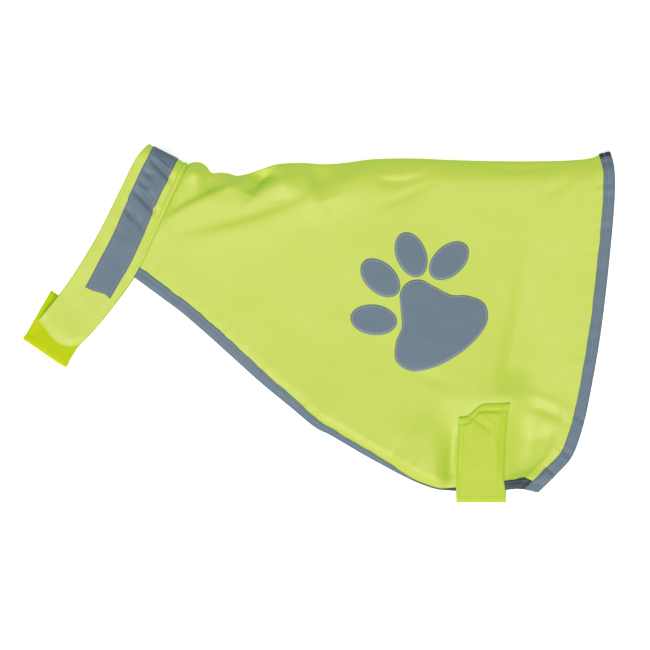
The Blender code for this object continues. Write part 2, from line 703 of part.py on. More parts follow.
def belly_strap(finish):
    """The strap: its profile carried across its width."""
    profile = strap_profile()
    x = STRAP_X + np.linspace(-0.5, 0.5, 4) * STRAP_WIDTH
    grid = np.empty((len(profile), len(x), 3))
    grid[..., 0] = x
    grid[..., 1] = profile[:, :1]
    grid[..., 2] = profile[:, 1:]
    return cloth_wall("belly_strap", grid, BAND, finish)


def strap_pads(finish):
    """Loop pad on the near side and hook pad under the strap's tail."""
    made = []
    x = STRAP_X + np.linspace(-STRAP_PAD_HALF, STRAP_PAD_HALF, 3) * STRAP_WIDTH
    y = np.linspace(*STRAP_PAD_Y, 3)
    low = CLOTH / 2 + GAP
    for name, lift in (("belly_loop", low), ("belly_hook", low + PAD + GAP)):
        under = np.empty((3, 3, 3))
        under[..., 0] = x[None, :]
        under[..., 1] = y[:, None]
        under[..., 2] = bed_height(y)[:, None] + lift
        over = under + np.array([0, 0, PAD])
        made.append(wall(name, under, over, finish))
    return made


def closed_curve(points, count):
    """Points spaced evenly round a smooth closed curve through the given ones."""
    points = list(points)
    wrapped = points[-3:] + points + points[:3]
    line = smooth_curve(wrapped)(np.linspace(0, 1, 900))
    start = np.linalg.norm(line[100:450] - points[0], axis=1).argmin() + 100
    end = np.linalg.norm(line[450:800] - points[0], axis=1).argmin() + 450
    ring = line[start:end + 1]
    along = np.concatenate([[0], np.cumsum(np.linalg.norm(np.diff(ring, axis=0), axis=1))])
    where = np.linspace(0, along[-1], count, endpoint=False)
    return np.stack([np.interp(where, along, ring[:, k]) for k in range(2)], axis=-1)


def on_paw(across, along):
    """x, y of a point given across and along the paw's axis."""
    turn = math.radians(PAW_TURN)
    across, along = np.asarray(across, float), np.asarray(along, float)
    x = PAW_CENTRE[0] + across * math.cos(turn) - along * math.sin(turn)
    y = PAW_CENTRE[1] + across * math.sin(turn) + along * math.cos(turn)
    return np.stack([x, y], axis=-1)


def applique(name, outline, panel, finish):
    """A patch on the near side: rings from its middle to its outline, laid on the panel."""
    centre = outline.mean(0)
    rings = [centre + (outline - centre) * share for share in (0.33, 0.67, 1.0)]
    flat = np.vstack([centre, *rings])
    points = []
    for lift in (GAP, GAP + STRIP):
        for x, y in flat:
            hit = panel.ray_cast(Vector((x, y, 100.0)), Vector((0, 0, -1)))[0]
            points.append((x, y, hit.z + lift))
    count, half = len(outline), len(flat)
    faces = []
    for layer in (0, half):
        for i in range(count):
            j = (i + 1) % count
            faces.append([layer, layer + 1 + i, layer + 1 + j])
            for ring in (0, 1):
                a = layer + 1 + ring * count
                faces.append([a + i, a + count + i, a + count + j, a + j])
    rim = 1 + 2 * count
    for i in range(count):
        j = (i + 1) % count
        faces.append([rim + i, half + rim + i, half + rim + j, rim + j])
    return mesh_object(name, points, faces, finish)


def paw(panel, finish):
    """The pad and four toes."""
    half = list(PAW_PAD)
    whole = half + [(-x, y) for x, y in half[-2:0:-1]]
    right, up = PAW_PAD_AT
    outline = [tuple(on_paw(right + x, up + y)) for x, y in whole]
    applique("paw_pad", closed_curve(outline, 36), panel, finish)
    for name, across, along, tilt in PAW_TOES:
        turn = np.linspace(0, 2 * np.pi, 24, endpoint=False)
        lean_by = math.radians(tilt)
        a, b = TOE_SHORT * np.cos(turn), TOE_LONG * np.sin(turn)
        x = across + a * math.cos(lean_by) - b * math.sin(lean_by)
        y = along + a * math.sin(lean_by) + b * math.cos(lean_by)
        applique(name, on_paw(x, y), panel, finish)


def upper_faces(points):
    """A search tree of the near side's upper face, for what lies on it."""
    out = normals(points)
    out = out if out[2, 5, 2] > 0 else -out
    top = (points + out * CLOTH / 2)[:len(NEAR_ROWS)]
    rows, cols = top.shape[:2]
    faces = []
    for i in range(rows - 1):
        for j in range(cols - 1):
            a, b = i * cols + j, (i + 1) * cols + j
            faces += [(a, a + 1, b + 1), (a, b + 1, b)]
    return BVHTree.FromPolygons([Vector(p) for p in top.reshape(-1, 3)], faces)


def main():
    for obj in list(bpy.data.objects):
        bpy.data.objects.remove(obj)
    lime = material("lime_polyester", LIME, 0.55)
    silver = material("reflective_tape", SILVER, 0.4, 0.2)
    fastener = material("touch_fastener", FASTENER, 0.8)
    body = body_points()
    cloth_wall("body_panel", body, CLOTH, lime)
    for side in ("near", "far"):
        front_binding(side, silver)
    hem_binding(silver)
    cloth_wall("collar_band", collar_points(np.linspace(0, 1, 6)), BAND, lime)
    collar_strip(silver)
    collar_pads(fastener)
    belly_strap(lime)
    strap_pads(fastener)
    paw(upper_faces(body), silver)


main()
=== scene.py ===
"""Looks of a fluorescent dog vest that lies on its side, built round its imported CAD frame.

The vest is folded along its spine, with its collar and belly strap fastened. X runs from the
neck to the rear hem, Y from the belly to the spine and Z up, out of the left side. Shapes are
worked out in millimetres and put into meshes in metres. A cloth is a thin closed shell about a
middle surface, which is a function of two parameters; tape is a folded section carried along
the cloth's edge; thread is one short capsule for each stitch.
"""

from __future__ import annotations

import logging
import math
from collections.abc import Callable
from dataclasses import dataclass, field
from enum import Enum

import bpy
import numpy as np
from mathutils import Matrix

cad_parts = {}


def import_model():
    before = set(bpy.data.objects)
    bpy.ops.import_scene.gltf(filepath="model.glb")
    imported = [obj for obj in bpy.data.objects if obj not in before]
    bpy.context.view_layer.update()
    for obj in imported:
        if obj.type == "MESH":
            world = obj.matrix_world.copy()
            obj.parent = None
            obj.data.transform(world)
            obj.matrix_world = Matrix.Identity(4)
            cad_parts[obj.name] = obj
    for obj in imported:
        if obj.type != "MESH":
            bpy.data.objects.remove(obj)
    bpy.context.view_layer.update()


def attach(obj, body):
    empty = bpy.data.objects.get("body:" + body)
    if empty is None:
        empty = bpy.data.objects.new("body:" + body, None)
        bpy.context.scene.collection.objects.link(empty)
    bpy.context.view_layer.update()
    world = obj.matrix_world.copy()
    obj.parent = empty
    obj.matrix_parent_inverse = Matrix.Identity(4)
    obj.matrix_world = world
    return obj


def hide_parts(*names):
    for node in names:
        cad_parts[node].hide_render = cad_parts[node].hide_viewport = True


MM = 0.001
ROOT = "root"
LOG = logging.getLogger("dog_vest")
Array = np.ndarray
Material, Socket = bpy.types.Material, bpy.types.NodeSocket
Pair = tuple[float, float]
Rows = tuple[tuple[float, ...], ...]

# Outline of the vest as it lies, in millimetres.
SPINE: Rows = (            # x, y along the fold at the top
    (-124.3, 151.5), (-119.7, 153.3), (-112.1, 153.4), (-106.4, 149.6), (-101.7, 143.6),
    (-93.1, 143.9), (-85.5, 143), (-77.9, 140.9), (-69.4, 142), (-55.1, 146.8),
    (-40.9, 151.3), (-17.1, 153), (6.7, 151.7), (25.7, 153), (49.4, 156.2), (87.4, 157.2),
    (134.9, 155.4), (191.9, 154.4), (239.4, 155.3), (260.3, 157.6), (269.8, 161.3),
    (278.4, 163.4),
)
FRONT: Rows = (            # x, y along the front and belly edge, from the collar to the rear corner
    (-175.6, 44.9), (-150.1, 26.1), (-131.1, 11.9), (-112.1, -4.3), (-83.6, -29.9),
    (-55.1, -55.6), (-26.6, -78.9), (-1.9, -98.8), (11.4, -105.4), (39.9, -122.1),
    (58.9, -132.5), (80, -143.4), (97.9, -151.4), (114, -156.6), (131.1, -158.9),
    (155.8, -159.4), (177.7, -158), (192, -157), (209.6, -160.4),
)
REAR: Rows = (             # x, y along the rear hem, from the spine to the belly corner
    (278.4, 163.4), (281.2, 148), (281.8, 124.9), (277.4, 67.9), (268.4, -10),
    (258.4, -67.9), (252.7, -94.5), (241.3, -126.4), (226.1, -143.9), (209.6, -160.4),
)
COLLAR_FREE_EDGE: Rows = ( # x, y from the throat fold to the nape
    (-281.2, -13.3), (-266, 3.8), (-245.1, 29), (-226.1, 56.5), (-207.1, 88.8),
    (-188.1, 126.8), (-172, 158.4), (-161.5, 170.4),
)
COLLAR_SEAM_EDGE: Rows = ( # x, y from the throat fold to the nape; the last stretch joins the body
    (-240.4, -41.3), (-231.8, -25.2), (-216.6, -9), (-197.6, 13.8), (-178.6, 39.4),
    (-170.1, 53.2), (-147.3, 102.1), (-124.5, 151.5),
)
TAIL_END: Rows = ((-254.1, 31.8), (-213.3, 3.8))   # free-edge corner and seam-edge corner


# -------- numbers and curves


def ease(value: Array) -> Array:
    """Smooth step: 0 below 0, 1 above 1, and 3t^2 - 2t^3 between."""
    t = np.clip(value, 0.0, 1.0)
    return t * t * (3.0 - 2.0 * t)


def past(value: Array, start: Array | float, run: Array | float) -> Array:
    """0 up to a start, 1 from a run past it, and smooth between."""
    return ease((value - start) / run)


def mound(value: Array) -> Array:
    """A Gaussian of height 1 at 0: exp(-value^2)."""
    return np.exp(-(value**2))


def together(a: Array | float, b: Array | float) -> list[Array]:
    """Two values as arrays of one shape."""
    return np.broadcast_arrays(np.asarray(a, float), np.asarray(b, float))


def read_line(line: Array, along: Array, where: Array) -> Array:
    """A line's columns at distances along it, given the distances of its own points."""
    return np.stack([np.interp(where, along, column) for column in line.T], axis=-1)


def finer_at_ends(count: int) -> Array:
    """Shares from 0 to 1 that lie closer together towards both ends."""
    return (1 - np.cos(np.linspace(0, np.pi, count))) / 2 * 0.5 + np.linspace(0, 1, count) * 0.5


def joined(*runs: tuple[float, float, int]) -> Array:
    """Values over runs that adjoin, each given by its first value, last value and count."""
    return np.concatenate([*(np.linspace(*run)[:-1] for run in runs[:-1]), np.linspace(*runs[-1])])


def table_at(table: tuple, value: Array, column: int = 1) -> Array:
    """Reads a table at a value of its first column, straight between its rows.

    Args:
        table: Rows whose first column rises.
        value: Where to read.
        column: The column to read.

    Returns:
        The column's value there.
    """
    rows = np.array([(row[0], row[column]) for row in table], float)
    return np.interp(value, rows[:, 0], rows[:, 1])


def ripple(along: Array, wavelength: float, seed: int) -> Array:
    """An uneven wave of about unit height: four sines whose lengths share no common measure.

    Args:
        along: Distance along the wave, in the wavelength's unit.
        wavelength: The main sine's length.
        seed: Picks the sines' phases.

    Returns:
        The wave's height at each distance.
    """
    phases = np.random.default_rng(seed).uniform(0, 2 * np.pi, 4)
    parts = ((1.0, 0.45), (0.618, 0.25), (1.93, 0.3), (0.37, 0.12))
    total = np.zeros_like(np.asarray(along, float))
    for (stretch, share), phase in zip(parts, phases):
        total = total + share * np.sin(2 * np.pi * along / (wavelength * stretch) + phase)
    return total


def unit(vectors: Array) -> Array:
    """Scales vectors on the last axis to length 1."""
    return vectors / np.maximum(np.linalg.norm(vectors, axis=-1, keepdims=True), 1e-9)


def arc_length(points: Array) -> Array:
    """Distance along a line of points, from its first one."""
    steps = np.linalg.norm(np.diff(points, axis=0), axis=1)
    return np.concatenate([[0.0], np.cumsum(steps)])


def evenly(points: Array, pitch: float) -> Array:
    """A line's points spaced evenly.

    Args:
        points: The line, of any number of columns, of which the first three are its place.
        pitch: The wanted spacing in millimetres.

    Returns:
        Points a whole number of equal steps apart, near the pitch.
    """
    along = arc_length(points[:, :3])
    where = np.linspace(0, along[-1], max(int(round(along[-1] / pitch)), 2) + 1)
    return read_line(points, along, where)


class Spline:
    """A centripetal Catmull-Rom curve through a table of x, y, read by share of its length."""

    def __init__(self, table: tuple) -> None:
        """Works out a dense line through the table's points."""
        points = np.array(table, float)
        ends = np.vstack([2 * points[0] - points[1], points, 2 * points[-1] - points[-2]])
        steps = np.linalg.norm(np.diff(ends, axis=0), axis=1) ** 0.5
        knots = np.concatenate([[0], np.cumsum(steps)])
        pieces = [self._piece(ends[i - 1 : i + 3], knots[i - 1 : i + 3]) for i in range(1, len(ends) - 2)]
        self.line = np.vstack([*pieces, points[-1:]])
        self.along = arc_length(self.line)
        self.length = float(self.along[-1])

    @staticmethod
    def _piece(p: Array, t: Array) -> Array:
        """The curve between the middle two of four points, by Neville's pyramid of blends."""
        s = np.linspace(t[1], t[2], 25)[:-1, None]
        a1 = ((t[1] - s) * p[0] + (s - t[0]) * p[1]) / (t[1] - t[0])
        a2 = ((t[2] - s) * p[1] + (s - t[1]) * p[2]) / (t[2] - t[1])
        a3 = ((t[3] - s) * p[2] + (s - t[2]) * p[3]) / (t[3] - t[2])
        b1 = ((t[2] - s) * a1 + (s - t[0]) * a2) / (t[2] - t[0])
        b2 = ((t[3] - s) * a2 + (s - t[1]) * a3) / (t[3] - t[1])
        return ((t[2] - s) * b1 + (s - t[1]) * b2) / (t[2] - t[1])

    def __call__(self, share: Array) -> Array:
        """The x, y at shares of the curve's length."""
        return read_line(self.line, self.along, np.asarray(share, float) * self.length)


LIP_AT = 1.7    # half widths from a crease to the lip beside it


@dataclass(frozen=True)
class Crease:
    """A soft fold: a Gaussian trough or ridge along a quadratic curve, with a lip beside it.

    The height is depth times a mound of s/half, less lip times the same mound set LIP_AT half
    widths to the curve's left, tapered to nothing at both ends. s is the distance from the
    curve, and on its right the half width is other where that is given.
    """

    start: Pair
    middle: Pair
    end: Pair
    depth: float
    half: float
    lip: float = 0.0
    other: float = 0.0

    def height(self, x: Array, y: Array) -> Array:
        """The crease's height at each x, y."""
        t = np.linspace(0, 1, 13)[:, None]
        a, b, c = (np.array(p, float) for p in (self.start, self.middle, self.end))
        line = (1 - t) ** 2 * a + 2 * t * (1 - t) * b + t**2 * c
        step = np.diff(line, axis=0)
        px, py = x[..., None] - line[:-1, 0], y[..., None] - line[:-1, 1]
        size = (step**2).sum(-1)
        share = np.clip((px * step[:, 0] + py * step[:, 1]) / size, 0, 1)
        off_x, off_y = px - share * step[:, 0], py - share * step[:, 1]
        off = np.hypot(off_x, off_y)
        near = off.argmin(-1)[..., None]

        def pick(values: Array) -> Array:
            """The values on the nearest piece of the curve."""
            return np.take_along_axis(values, near, -1)[..., 0]

        side = np.sign(pick(step[:, 0] * off_y - step[:, 1] * off_x))
        s = side * pick(off) / np.where(side > 0, self.half, self.other or self.half)
        along = (near[..., 0] + pick(share)) / len(step)
        taper = np.sin(np.pi * np.clip(along, 0.02, 0.98)) ** 0.7
        return self.depth * taper * (mound(s) - self.lip * mound(s - LIP_AT))


def creases_of(*rows: tuple[float, ...]) -> tuple[Crease, ...]:
    """Creases from rows: x, y of the start, the middle and the end, and then the other fields."""
    return tuple(Crease(row[:2], row[2:4], row[4:6], *row[6:]) for row in rows)


@dataclass(frozen=True)
class Puff:
    """A soft round bulge, or a hollow where its rise is negative."""

    x: float
    y: float
    rise: float
    half: float

    def height(self, x: Array, y: Array) -> Array:
        """The bulge's height at each x, y."""
        return self.rise * np.exp(-((x - self.x) ** 2 + (y - self.y) ** 2) / self.half**2)


@dataclass(frozen=True)
class Ridge:
    """A ridge that follows an edge at a distance, or a groove where its rise is negative."""

    rise: float
    off: float
    half: float

    def height(self, distance: Array) -> Array:
        """The ridge's height at a distance from the edge."""
        return self.rise * mound((distance - self.off) / self.half)


def summed(forms: tuple[Crease | Puff | Ridge, ...], *place: Array) -> Array:
    """The heights of forms added up: at x, y for creases and puffs, at a distance for ridges."""
    return sum(form.height(*place) for form in forms)


# -------- meshes


def grid_quads(rows: int, cols: int, around: bool = False) -> Array:
    """Corner numbers of the quads of a rows by cols grid; around joins the last row to the first."""
    last = rows if around else rows - 1
    i, j = np.meshgrid(np.arange(last), np.arange(cols - 1), indexing="ij")
    k = (i + 1) % rows
    quads = np.stack([i * cols + j, i * cols + j + 1, k * cols + j + 1, k * cols + j], axis=-1)
    return quads.reshape(-1, 4)


def grid_normals(points: Array) -> Array:
    """Unit normals of a grid of points, the cross product of its two central differences."""
    return unit(np.cross(np.gradient(points, axis=0), np.gradient(points, axis=1)))


def outward(points: Array, faces: Array) -> Array:
    """Turns the quads of a closed mesh over if its signed volume is negative."""
    a, b, c, d = (points[faces[:, k]] for k in range(4))
    volume = (np.cross(a, b) * c).sum() + (np.cross(a, c) * d).sum()
    return faces[:, ::-1] if volume < 0 else faces


def corner_vertices(mesh: bpy.types.Mesh) -> Array:
    """The vertex numbers of a mesh's quads, four in a row for each."""
    corners = np.empty(len(mesh.loops), np.int32)
    mesh.loops.foreach_get("vertex_index", corners)
    return corners


def mesh_piece(
    name: str, points: Array, faces: Array, uv: Array, finish: Material
) -> bpy.types.Object:
    """Makes a smooth mesh object, with its faces outwards, and rides it on the vest.

    Args:
        name: The piece's name.
        points: Vertex places in millimetres.
        faces: Corner numbers, four a face.
        uv: Each vertex's place on the cloth in millimetres, for the weave.
        finish: Its material.

    Returns:
        The object, at the origin.
    """
    mesh = bpy.data.meshes.new(name)
    mesh.from_pydata((points * MM).tolist(), [], outward(points, faces).tolist())
    layer = mesh.uv_layers.new(name="cloth")
    layer.data.foreach_set("uv", (uv[corner_vertices(mesh)] * MM).astype(np.float32).ravel())
    mesh.polygons.foreach_set("use_smooth", np.ones(len(mesh.polygons), bool))
    mesh.materials.append(finish)
    mesh.validate()
    obj = bpy.data.objects.new(name, mesh)
    bpy.context.scene.collection.objects.link(obj)
    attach(obj, ROOT)
    LOG.info("%s: %d faces", name, len(mesh.polygons))
    return obj


def cloth_shell(
    name: str, middle: Array, thickness: float, finish: Material,
    rim: float = 0.35, inside: Material | None = None,
) -> bpy.types.Object:
    """A closed cloth of even thickness about a middle surface, its rim rounded.

    Both faces are the middle surface moved half the thickness along its normals, less at the
    rim, and a strip of quads joins them there.

    Args:
        name: The piece's name.
        middle: A rows by columns grid of points.
        thickness: In millimetres.
        finish: Its material.
        rim: The rim's thickness as a share of the rest.
        inside: The material of the face that looks down on the near side, if it differs.

    Returns:
        The object.
    """
    rows, cols = middle.shape[:2]
    half = np.full((rows, cols, 1), thickness / 2)
    half[[0, -1]] *= rim
    half[:, [0, -1]] *= rim
    out = grid_normals(middle) * half
    points = np.concatenate([(middle + out).reshape(-1, 3), (middle - out).reshape(-1, 3)])
    quads = grid_quads(rows, cols)
    top, low = quads, quads[:, ::-1] + rows * cols
    ring = np.concatenate([
        np.arange(cols), np.arange(1, rows) * cols + cols - 1,
        (rows - 1) * cols + np.arange(cols - 2, -1, -1), np.arange(rows - 2, 0, -1) * cols,
    ])
    after = np.roll(ring, -1)
    edge = np.stack([after, ring, ring + rows * cols, after + rows * cols], axis=-1)
    u = np.broadcast_to(arc_length(middle[rows // 3])[None, :], (rows, cols))
    v = np.broadcast_to(arc_length(middle[:, cols // 2])[:, None], (rows, cols))
    uv = np.stack([u, v], axis=-1).reshape(-1, 2)
    faces = np.concatenate([top, low, edge])
    obj = mesh_piece(name, points, faces, np.concatenate([uv, uv]), finish)
    if inside is not None:
        obj.data.materials.append(inside)
        slots = np.zeros(len(faces), np.int32)
        first = 0 if out[rows // 4, cols // 2, 2] < 0 else len(quads)
        slots[first:first + len(quads)] = 1
        obj.data.polygons.foreach_set("material_index", slots)
    return obj


def thread_piece(
    name: str, starts: Array, ends: Array, up: Array, radius: float, finish: Material
) -> bpy.types.Object:
    """Thread: one capsule for each stitch, bowed up in its middle and flattened at its ends.

    A capsule's section is a hexagon that narrows towards both ends, and whose centre rises by
    most of a radius in the middle of the stitch.

    Args:
        name: The piece's name.
        starts: Each stitch's first end, in millimetres.
        ends: Each stitch's last end.
        up: The cloth's normal at each stitch.
        radius: The thread's radius.
        finish: Its material.

    Returns:
        The object, one mesh of all the stitches.
    """
    t = np.array([0.0, 0.12, 0.35, 0.65, 0.88, 1.0])
    swell = np.array([0.35, 0.85, 1.0, 1.0, 0.85, 0.35]) * radius
    bow = 0.8
    rise = 4 * t * (1 - t) * radius * bow
    angle = np.linspace(0, 2 * np.pi, 6, endpoint=False)
    run = ends - starts
    along = unit(run)
    side = unit(np.cross(along, up))
    over = np.cross(side, along)
    centre = starts[:, None] + run[:, None] * t[:, None] + over[:, None] * rise[:, None]
    ring = side[:, None, :] * np.cos(angle)[:, None] + over[:, None, :] * np.sin(angle)[:, None]
    points = centre[:, :, None, :] + ring[:, None] * swell[:, None, None]
    count, stations, sides = points.shape[:3]
    i, j = np.meshgrid(np.arange(stations - 1), np.arange(sides), indexing="ij")
    k = (j + 1) % sides
    one = np.stack([i * sides + j, i * sides + k, (i + 1) * sides + k, (i + 1) * sides + j], axis=-1)
    one = one.reshape(-1, 4)
    caps = np.array([[0, 3, 2, 1], [0, 5, 4, 3]])
    last = (stations - 1) * sides
    one = np.concatenate([one, caps, caps[:, ::-1] + last])
    faces = (one[None] + np.arange(count)[:, None, None] * stations * sides).reshape(-1, 4)
    return mesh_piece(name, points.reshape(-1, 3), faces, np.zeros((count * stations * sides, 2)), finish)


def seam_stitches(
    name: str, line: Array, up: Array, finish: Material,
    pitch: float = 3.0, radius: float = 0.28, gap: float = 0.08,
) -> bpy.types.Object:
    """A lockstitch row: equal stitches along a line, with short gaps between them.

    Args:
        name: The piece's name.
        line: Points on the cloth's face.
        up: The face's normals at those points.
        finish: The thread's material.
        pitch: Stitch length with its gap, in millimetres.
        radius: The thread's radius.
        gap: The share of the pitch that is left out at each end of a stitch.

    Returns:
        The object.
    """
    both = evenly(np.hstack([line, up]), pitch)
    spots, ups = both[:, :3], unit(both[:, 3:])
    run = spots[1:] - spots[:-1]
    return thread_piece(name, spots[:-1] + gap * run, spots[1:] - gap * run, ups[:-1], radius, finish)


# -------- finishes


def linear(colour: str) -> tuple[float, float, float, float]:
    """Turns an sRGB hex colour to linear light, with full alpha."""
    parts = np.array([int(colour[k : k + 2], 16) for k in (1, 3, 5)]) / 255
    value = np.where(parts <= 0.04045, parts / 12.92, ((parts + 0.055) / 1.055) ** 2.4)
    return (*value.tolist(), 1.0)


MIX_A, MIX_B, MIX_RESULT = 6, 7, 2    # a colour Mix node's sockets
WAVE_PITCH = 0.314                    # distance between the bands of a wave texture of scale 1


class Swatch:
    """A node material in the making, with the steps that the finishes share."""

    def __init__(self, name: str, values: dict) -> None:
        """Starts the material.

        Args:
            name: The material's name.
            values: Input values of its Principled shader, by name.
        """
        self.material = bpy.data.materials.new(name)
        self.material.use_nodes = True
        self.tree = self.material.node_tree
        self.shader = self.tree.nodes["Principled BSDF"]
        for key, value in values.items():
            self.shader.inputs[key].default_value = value

    def node(self, kind: str, settings: dict | None = None, links: dict | None = None) -> bpy.types.Node:
        """Adds a node.

        Args:
            kind: The node's Blender type.
            settings: Attributes by name, and input values by socket name or number.
            links: Output sockets to join, by the input's name or number.

        Returns:
            The node.
        """
        node = self.tree.nodes.new(kind)
        for key, value in (settings or {}).items():
            if isinstance(key, str) and hasattr(node, key):
                setattr(node, key, value)
            else:
                node.inputs[key].default_value = value
        for key, socket in (links or {}).items():
            self.tree.links.new(socket, node.inputs[key])
        return node

    def on_cloth(self) -> Socket:
        """Places along and across the cloth, in metres."""
        return self.node("ShaderNodeUVMap", {"uv_map": "cloth"}).outputs["UV"]

    def in_object(self) -> Socket:
        """Places in the object, in metres."""
        return self.node("ShaderNodeTexCoord").outputs["Object"]

    def noise(self, place: Socket, size_mm: float, detail: float) -> Socket:
        """Uneven shares from 0 to 1, in patches of about a size."""
        settings = {"Scale": 1 / (size_mm * MM), "Detail": detail}
        return self.node("ShaderNodeTexNoise", settings, {"Vector": place}).outputs["Fac"]

    def dye(self, share: Socket, first: str, second: str) -> None:
        """Gives the shader a blend of two sRGB colours."""
        settings = {"data_type": "RGBA", MIX_A: linear(first), MIX_B: linear(second)}
        hue = self.node("ShaderNodeMix", settings, {0: share})
        self.tree.links.new(hue.outputs[MIX_RESULT], self.shader.inputs["Base Color"])

    def emboss(self, height: Socket, strength: float, depth_mm: float) -> None:
        """Gives the shader a fine relief."""
        settings = {"Strength": strength, "Distance": depth_mm * MM}
        bump = self.node("ShaderNodeBump", settings, {"Height": height})
        self.tree.links.new(bump.outputs["Normal"], self.shader.inputs["Normal"])


@dataclass(frozen=True)
class FluorescentKnit:
    """Warp-knitted polyester, disperse-dyed fluorescent yellow: smooth, with a dull sheen.

    The dye turns unseen light into yellow-green, so folds and shade keep their colour; a painted
    glow of the dye's hue, which shines whatever the lamps, stands in for that and lights the
    shade. Cloth that faces the light looks paler, from its sheen.
    """

    name: str = "fluorescent_knit"
    colour: str = "#B8963C"
    other: str = "#BE9B42"
    # painted glow: an emission of the dye's hue that lights the cloth whatever the lamps
    painted_glow: str = "#009500"
    painted_glow_strength: float = 1.0
    roughness: float = 0.6
    specular: float = 0.9
    wale_mm: float = 1.5  # real wales are 0.8 mm apart, which is under a pixel here
    course_mm: float = 1.2
    rib_distortion: float = 0.7
    rib_detail: float = 1.0
    relief_mm: float = 0.03
    relief_strength: float = 0.5
    mottle_mm: float = 9.0
    mottle_detail: float = 4.0

    def make(self) -> Material:
        """Builds the material."""
        swatch = Swatch(self.name, {
            "Roughness": self.roughness, "Specular IOR Level": self.specular,
            # painted glow: the cloth shines by itself, also where it lies in shade
            "Emission Color": linear(self.painted_glow), "Emission Strength": self.painted_glow_strength,
        })
        place = swatch.on_cloth()
        wave = {"wave_type": "BANDS", "Distortion": self.rib_distortion, "Detail": self.rib_detail}
        ribs = []
        for way, pitch in (("X", self.wale_mm), ("Y", self.course_mm)):
            bands = {**wave, "bands_direction": way, "Scale": WAVE_PITCH / (pitch * MM)}
            ribs.append(swatch.node("ShaderNodeTexWave", bands, {"Vector": place}).outputs["Fac"])
        knit = swatch.node("ShaderNodeMath", {"operation": "MULTIPLY"}, {0: ribs[0], 1: ribs[1]})
        swatch.emboss(knit.outputs["Value"], self.relief_strength, self.relief_mm)
        swatch.dye(swatch.noise(place, self.mottle_mm, self.mottle_detail), self.colour, self.other)
        return swatch.material


@dataclass(frozen=True)
class ReflectiveTape:
    """Retroreflective tape: glass beads in grey resin on woven polyester, so a dull satin grey."""

    name: str = "reflective_tape"
    colour: str = "#627482"
    other: str = "#596B78"
    roughness: float = 0.6
    patch_mm: float = 16.0  # size of the slightly darker patches where the tape was bent
    patch_detail: float = 5.0
    grain_mm: float = 1.0  # real beads are 0.05 mm; the woven backing's grain shows instead
    grain_detail: float = 2.0
    grain_depth_mm: float = 0.06
    grain_strength: float = 0.3

    def make(self) -> Material:
        """Builds the material."""
        swatch = Swatch(self.name, {"Roughness": self.roughness})
        place = swatch.on_cloth()
        swatch.dye(swatch.noise(place, self.patch_mm, self.patch_detail), self.other, self.colour)
        grain = swatch.noise(place, self.grain_mm, self.grain_detail)
        swatch.emboss(grain, self.grain_strength, self.grain_depth_mm)
        return swatch.material


@dataclass(frozen=True)
class Thread:
    """Spun polyester sewing thread: matt, with a fuzz too fine to show but as a soft edge."""

    name: str
    colour: str
    roughness: float = 0.6
    fuzz_mm: float = 0.5  # real fuzz is 0.05 mm
    fuzz_detail: float = 2.0
    fuzz_depth_mm: float = 0.04
    fuzz_strength: float = 0.3

    def make(self) -> Material:
        """Builds the material."""
        swatch = Swatch(self.name, {"Base Color": linear(self.colour), "Roughness": self.roughness})
        fuzz = swatch.noise(swatch.in_object(), self.fuzz_mm, self.fuzz_detail)
        swatch.emboss(fuzz, self.fuzz_strength, self.fuzz_depth_mm)
        return swatch.material


@dataclass(frozen=True)
class TouchFastener:
    """Hook-and-loop pad: woven nylon with a nap of hooks or loops, rough and matt."""

    name: str = "touch_fastener"
    colour: str = "#B4C832"
    roughness: float = 0.9
    nap_mm: float = 0.8  # real hooks stand 0.6 mm apart
    nap_depth_mm: float = 0.3
    nap_strength: float = 0.8

    def make(self) -> Material:
        """Builds the material."""
        swatch = Swatch(self.name, {"Base Color": linear(self.colour), "Roughness": self.roughness})
        cells = {"Scale": 1 / (self.nap_mm * MM)}
        nap = swatch.node("ShaderNodeTexVoronoi", cells, {"Vector": swatch.in_object()})
        swatch.emboss(nap.outputs["Distance"], self.nap_strength, self.nap_depth_mm)
        return swatch.material


class Finish(Enum):
    """The vest's finishes."""

    KNIT = FluorescentKnit()
    # the inner face: a copy of the knit with a weaker painted glow, so the shaded inside does not glow
    # green
    KNIT_INSIDE = FluorescentKnit("fluorescent_knit_inside", colour="#9CA836", other="#A2AE3C",
                                  painted_glow="#3A5200", painted_glow_strength=0.8, specular=0.4)
    # painted shade: a darker copy of the knit for the strap, whose face tilts away from the light and loses
    # the sheen
    STRAP_KNIT_PAINTED_SHADE = FluorescentKnit("fluorescent_strap_knit_painted_shade", colour="#AF902A", other="#B59630", specular=0.45)
    # the tail's loop cloth; its painted glow lights the tail and keeps its shaded parts green-yellow
    LOOP_KNIT = FluorescentKnit("fluorescent_loop_knit", colour="#C2AA04", other="#A8A408", painted_glow="#0E7A00",
                              specular=0.1, mottle_mm=24.0)
    TAPE = ReflectiveTape()
    # painted shade: a darker copy of the tape for stretches that lie in shadow
    TAPE_PAINTED_SHADE = ReflectiveTape("reflective_tape_painted_shade", colour="#35414B", other="#2C3740")
    FASTENER = TouchFastener()
    SILVER_THREAD = Thread("silver_thread", "#8C9CA4")
    ZIGZAG_THREAD = Thread("zigzag_thread", "#B6C2C2")
    LIME_THREAD = Thread("lime_thread", "#CBDD6A")


class Wardrobe:
    """Makes each finish once."""

    def __init__(self) -> None:
        """Builds every finish's material."""
        self._made = {finish: finish.value.make() for finish in Finish}

    def __getitem__(self, finish: Finish) -> Material:
        """The material of a finish."""
        return self._made[finish]


class Side(Enum):
    """A side of the folded vest: near is on top, far lies on the surface."""

    NEAR = "near"
    FAR = "far"


class Zone(Enum):
    """A stretch of the cloth: by the belly edge, in the middle, or round the spine's fold."""

    EDGE = "edge"
    MIDDLE = "middle"
    FOLD = "fold"


# -------- the body's cloth and its tape


ALONG_STEP = 0.004     # share of an edge over which its direction is read, each way
INWARD_STEP = 0.05     # share of a line over which the direction that meets an edge is read


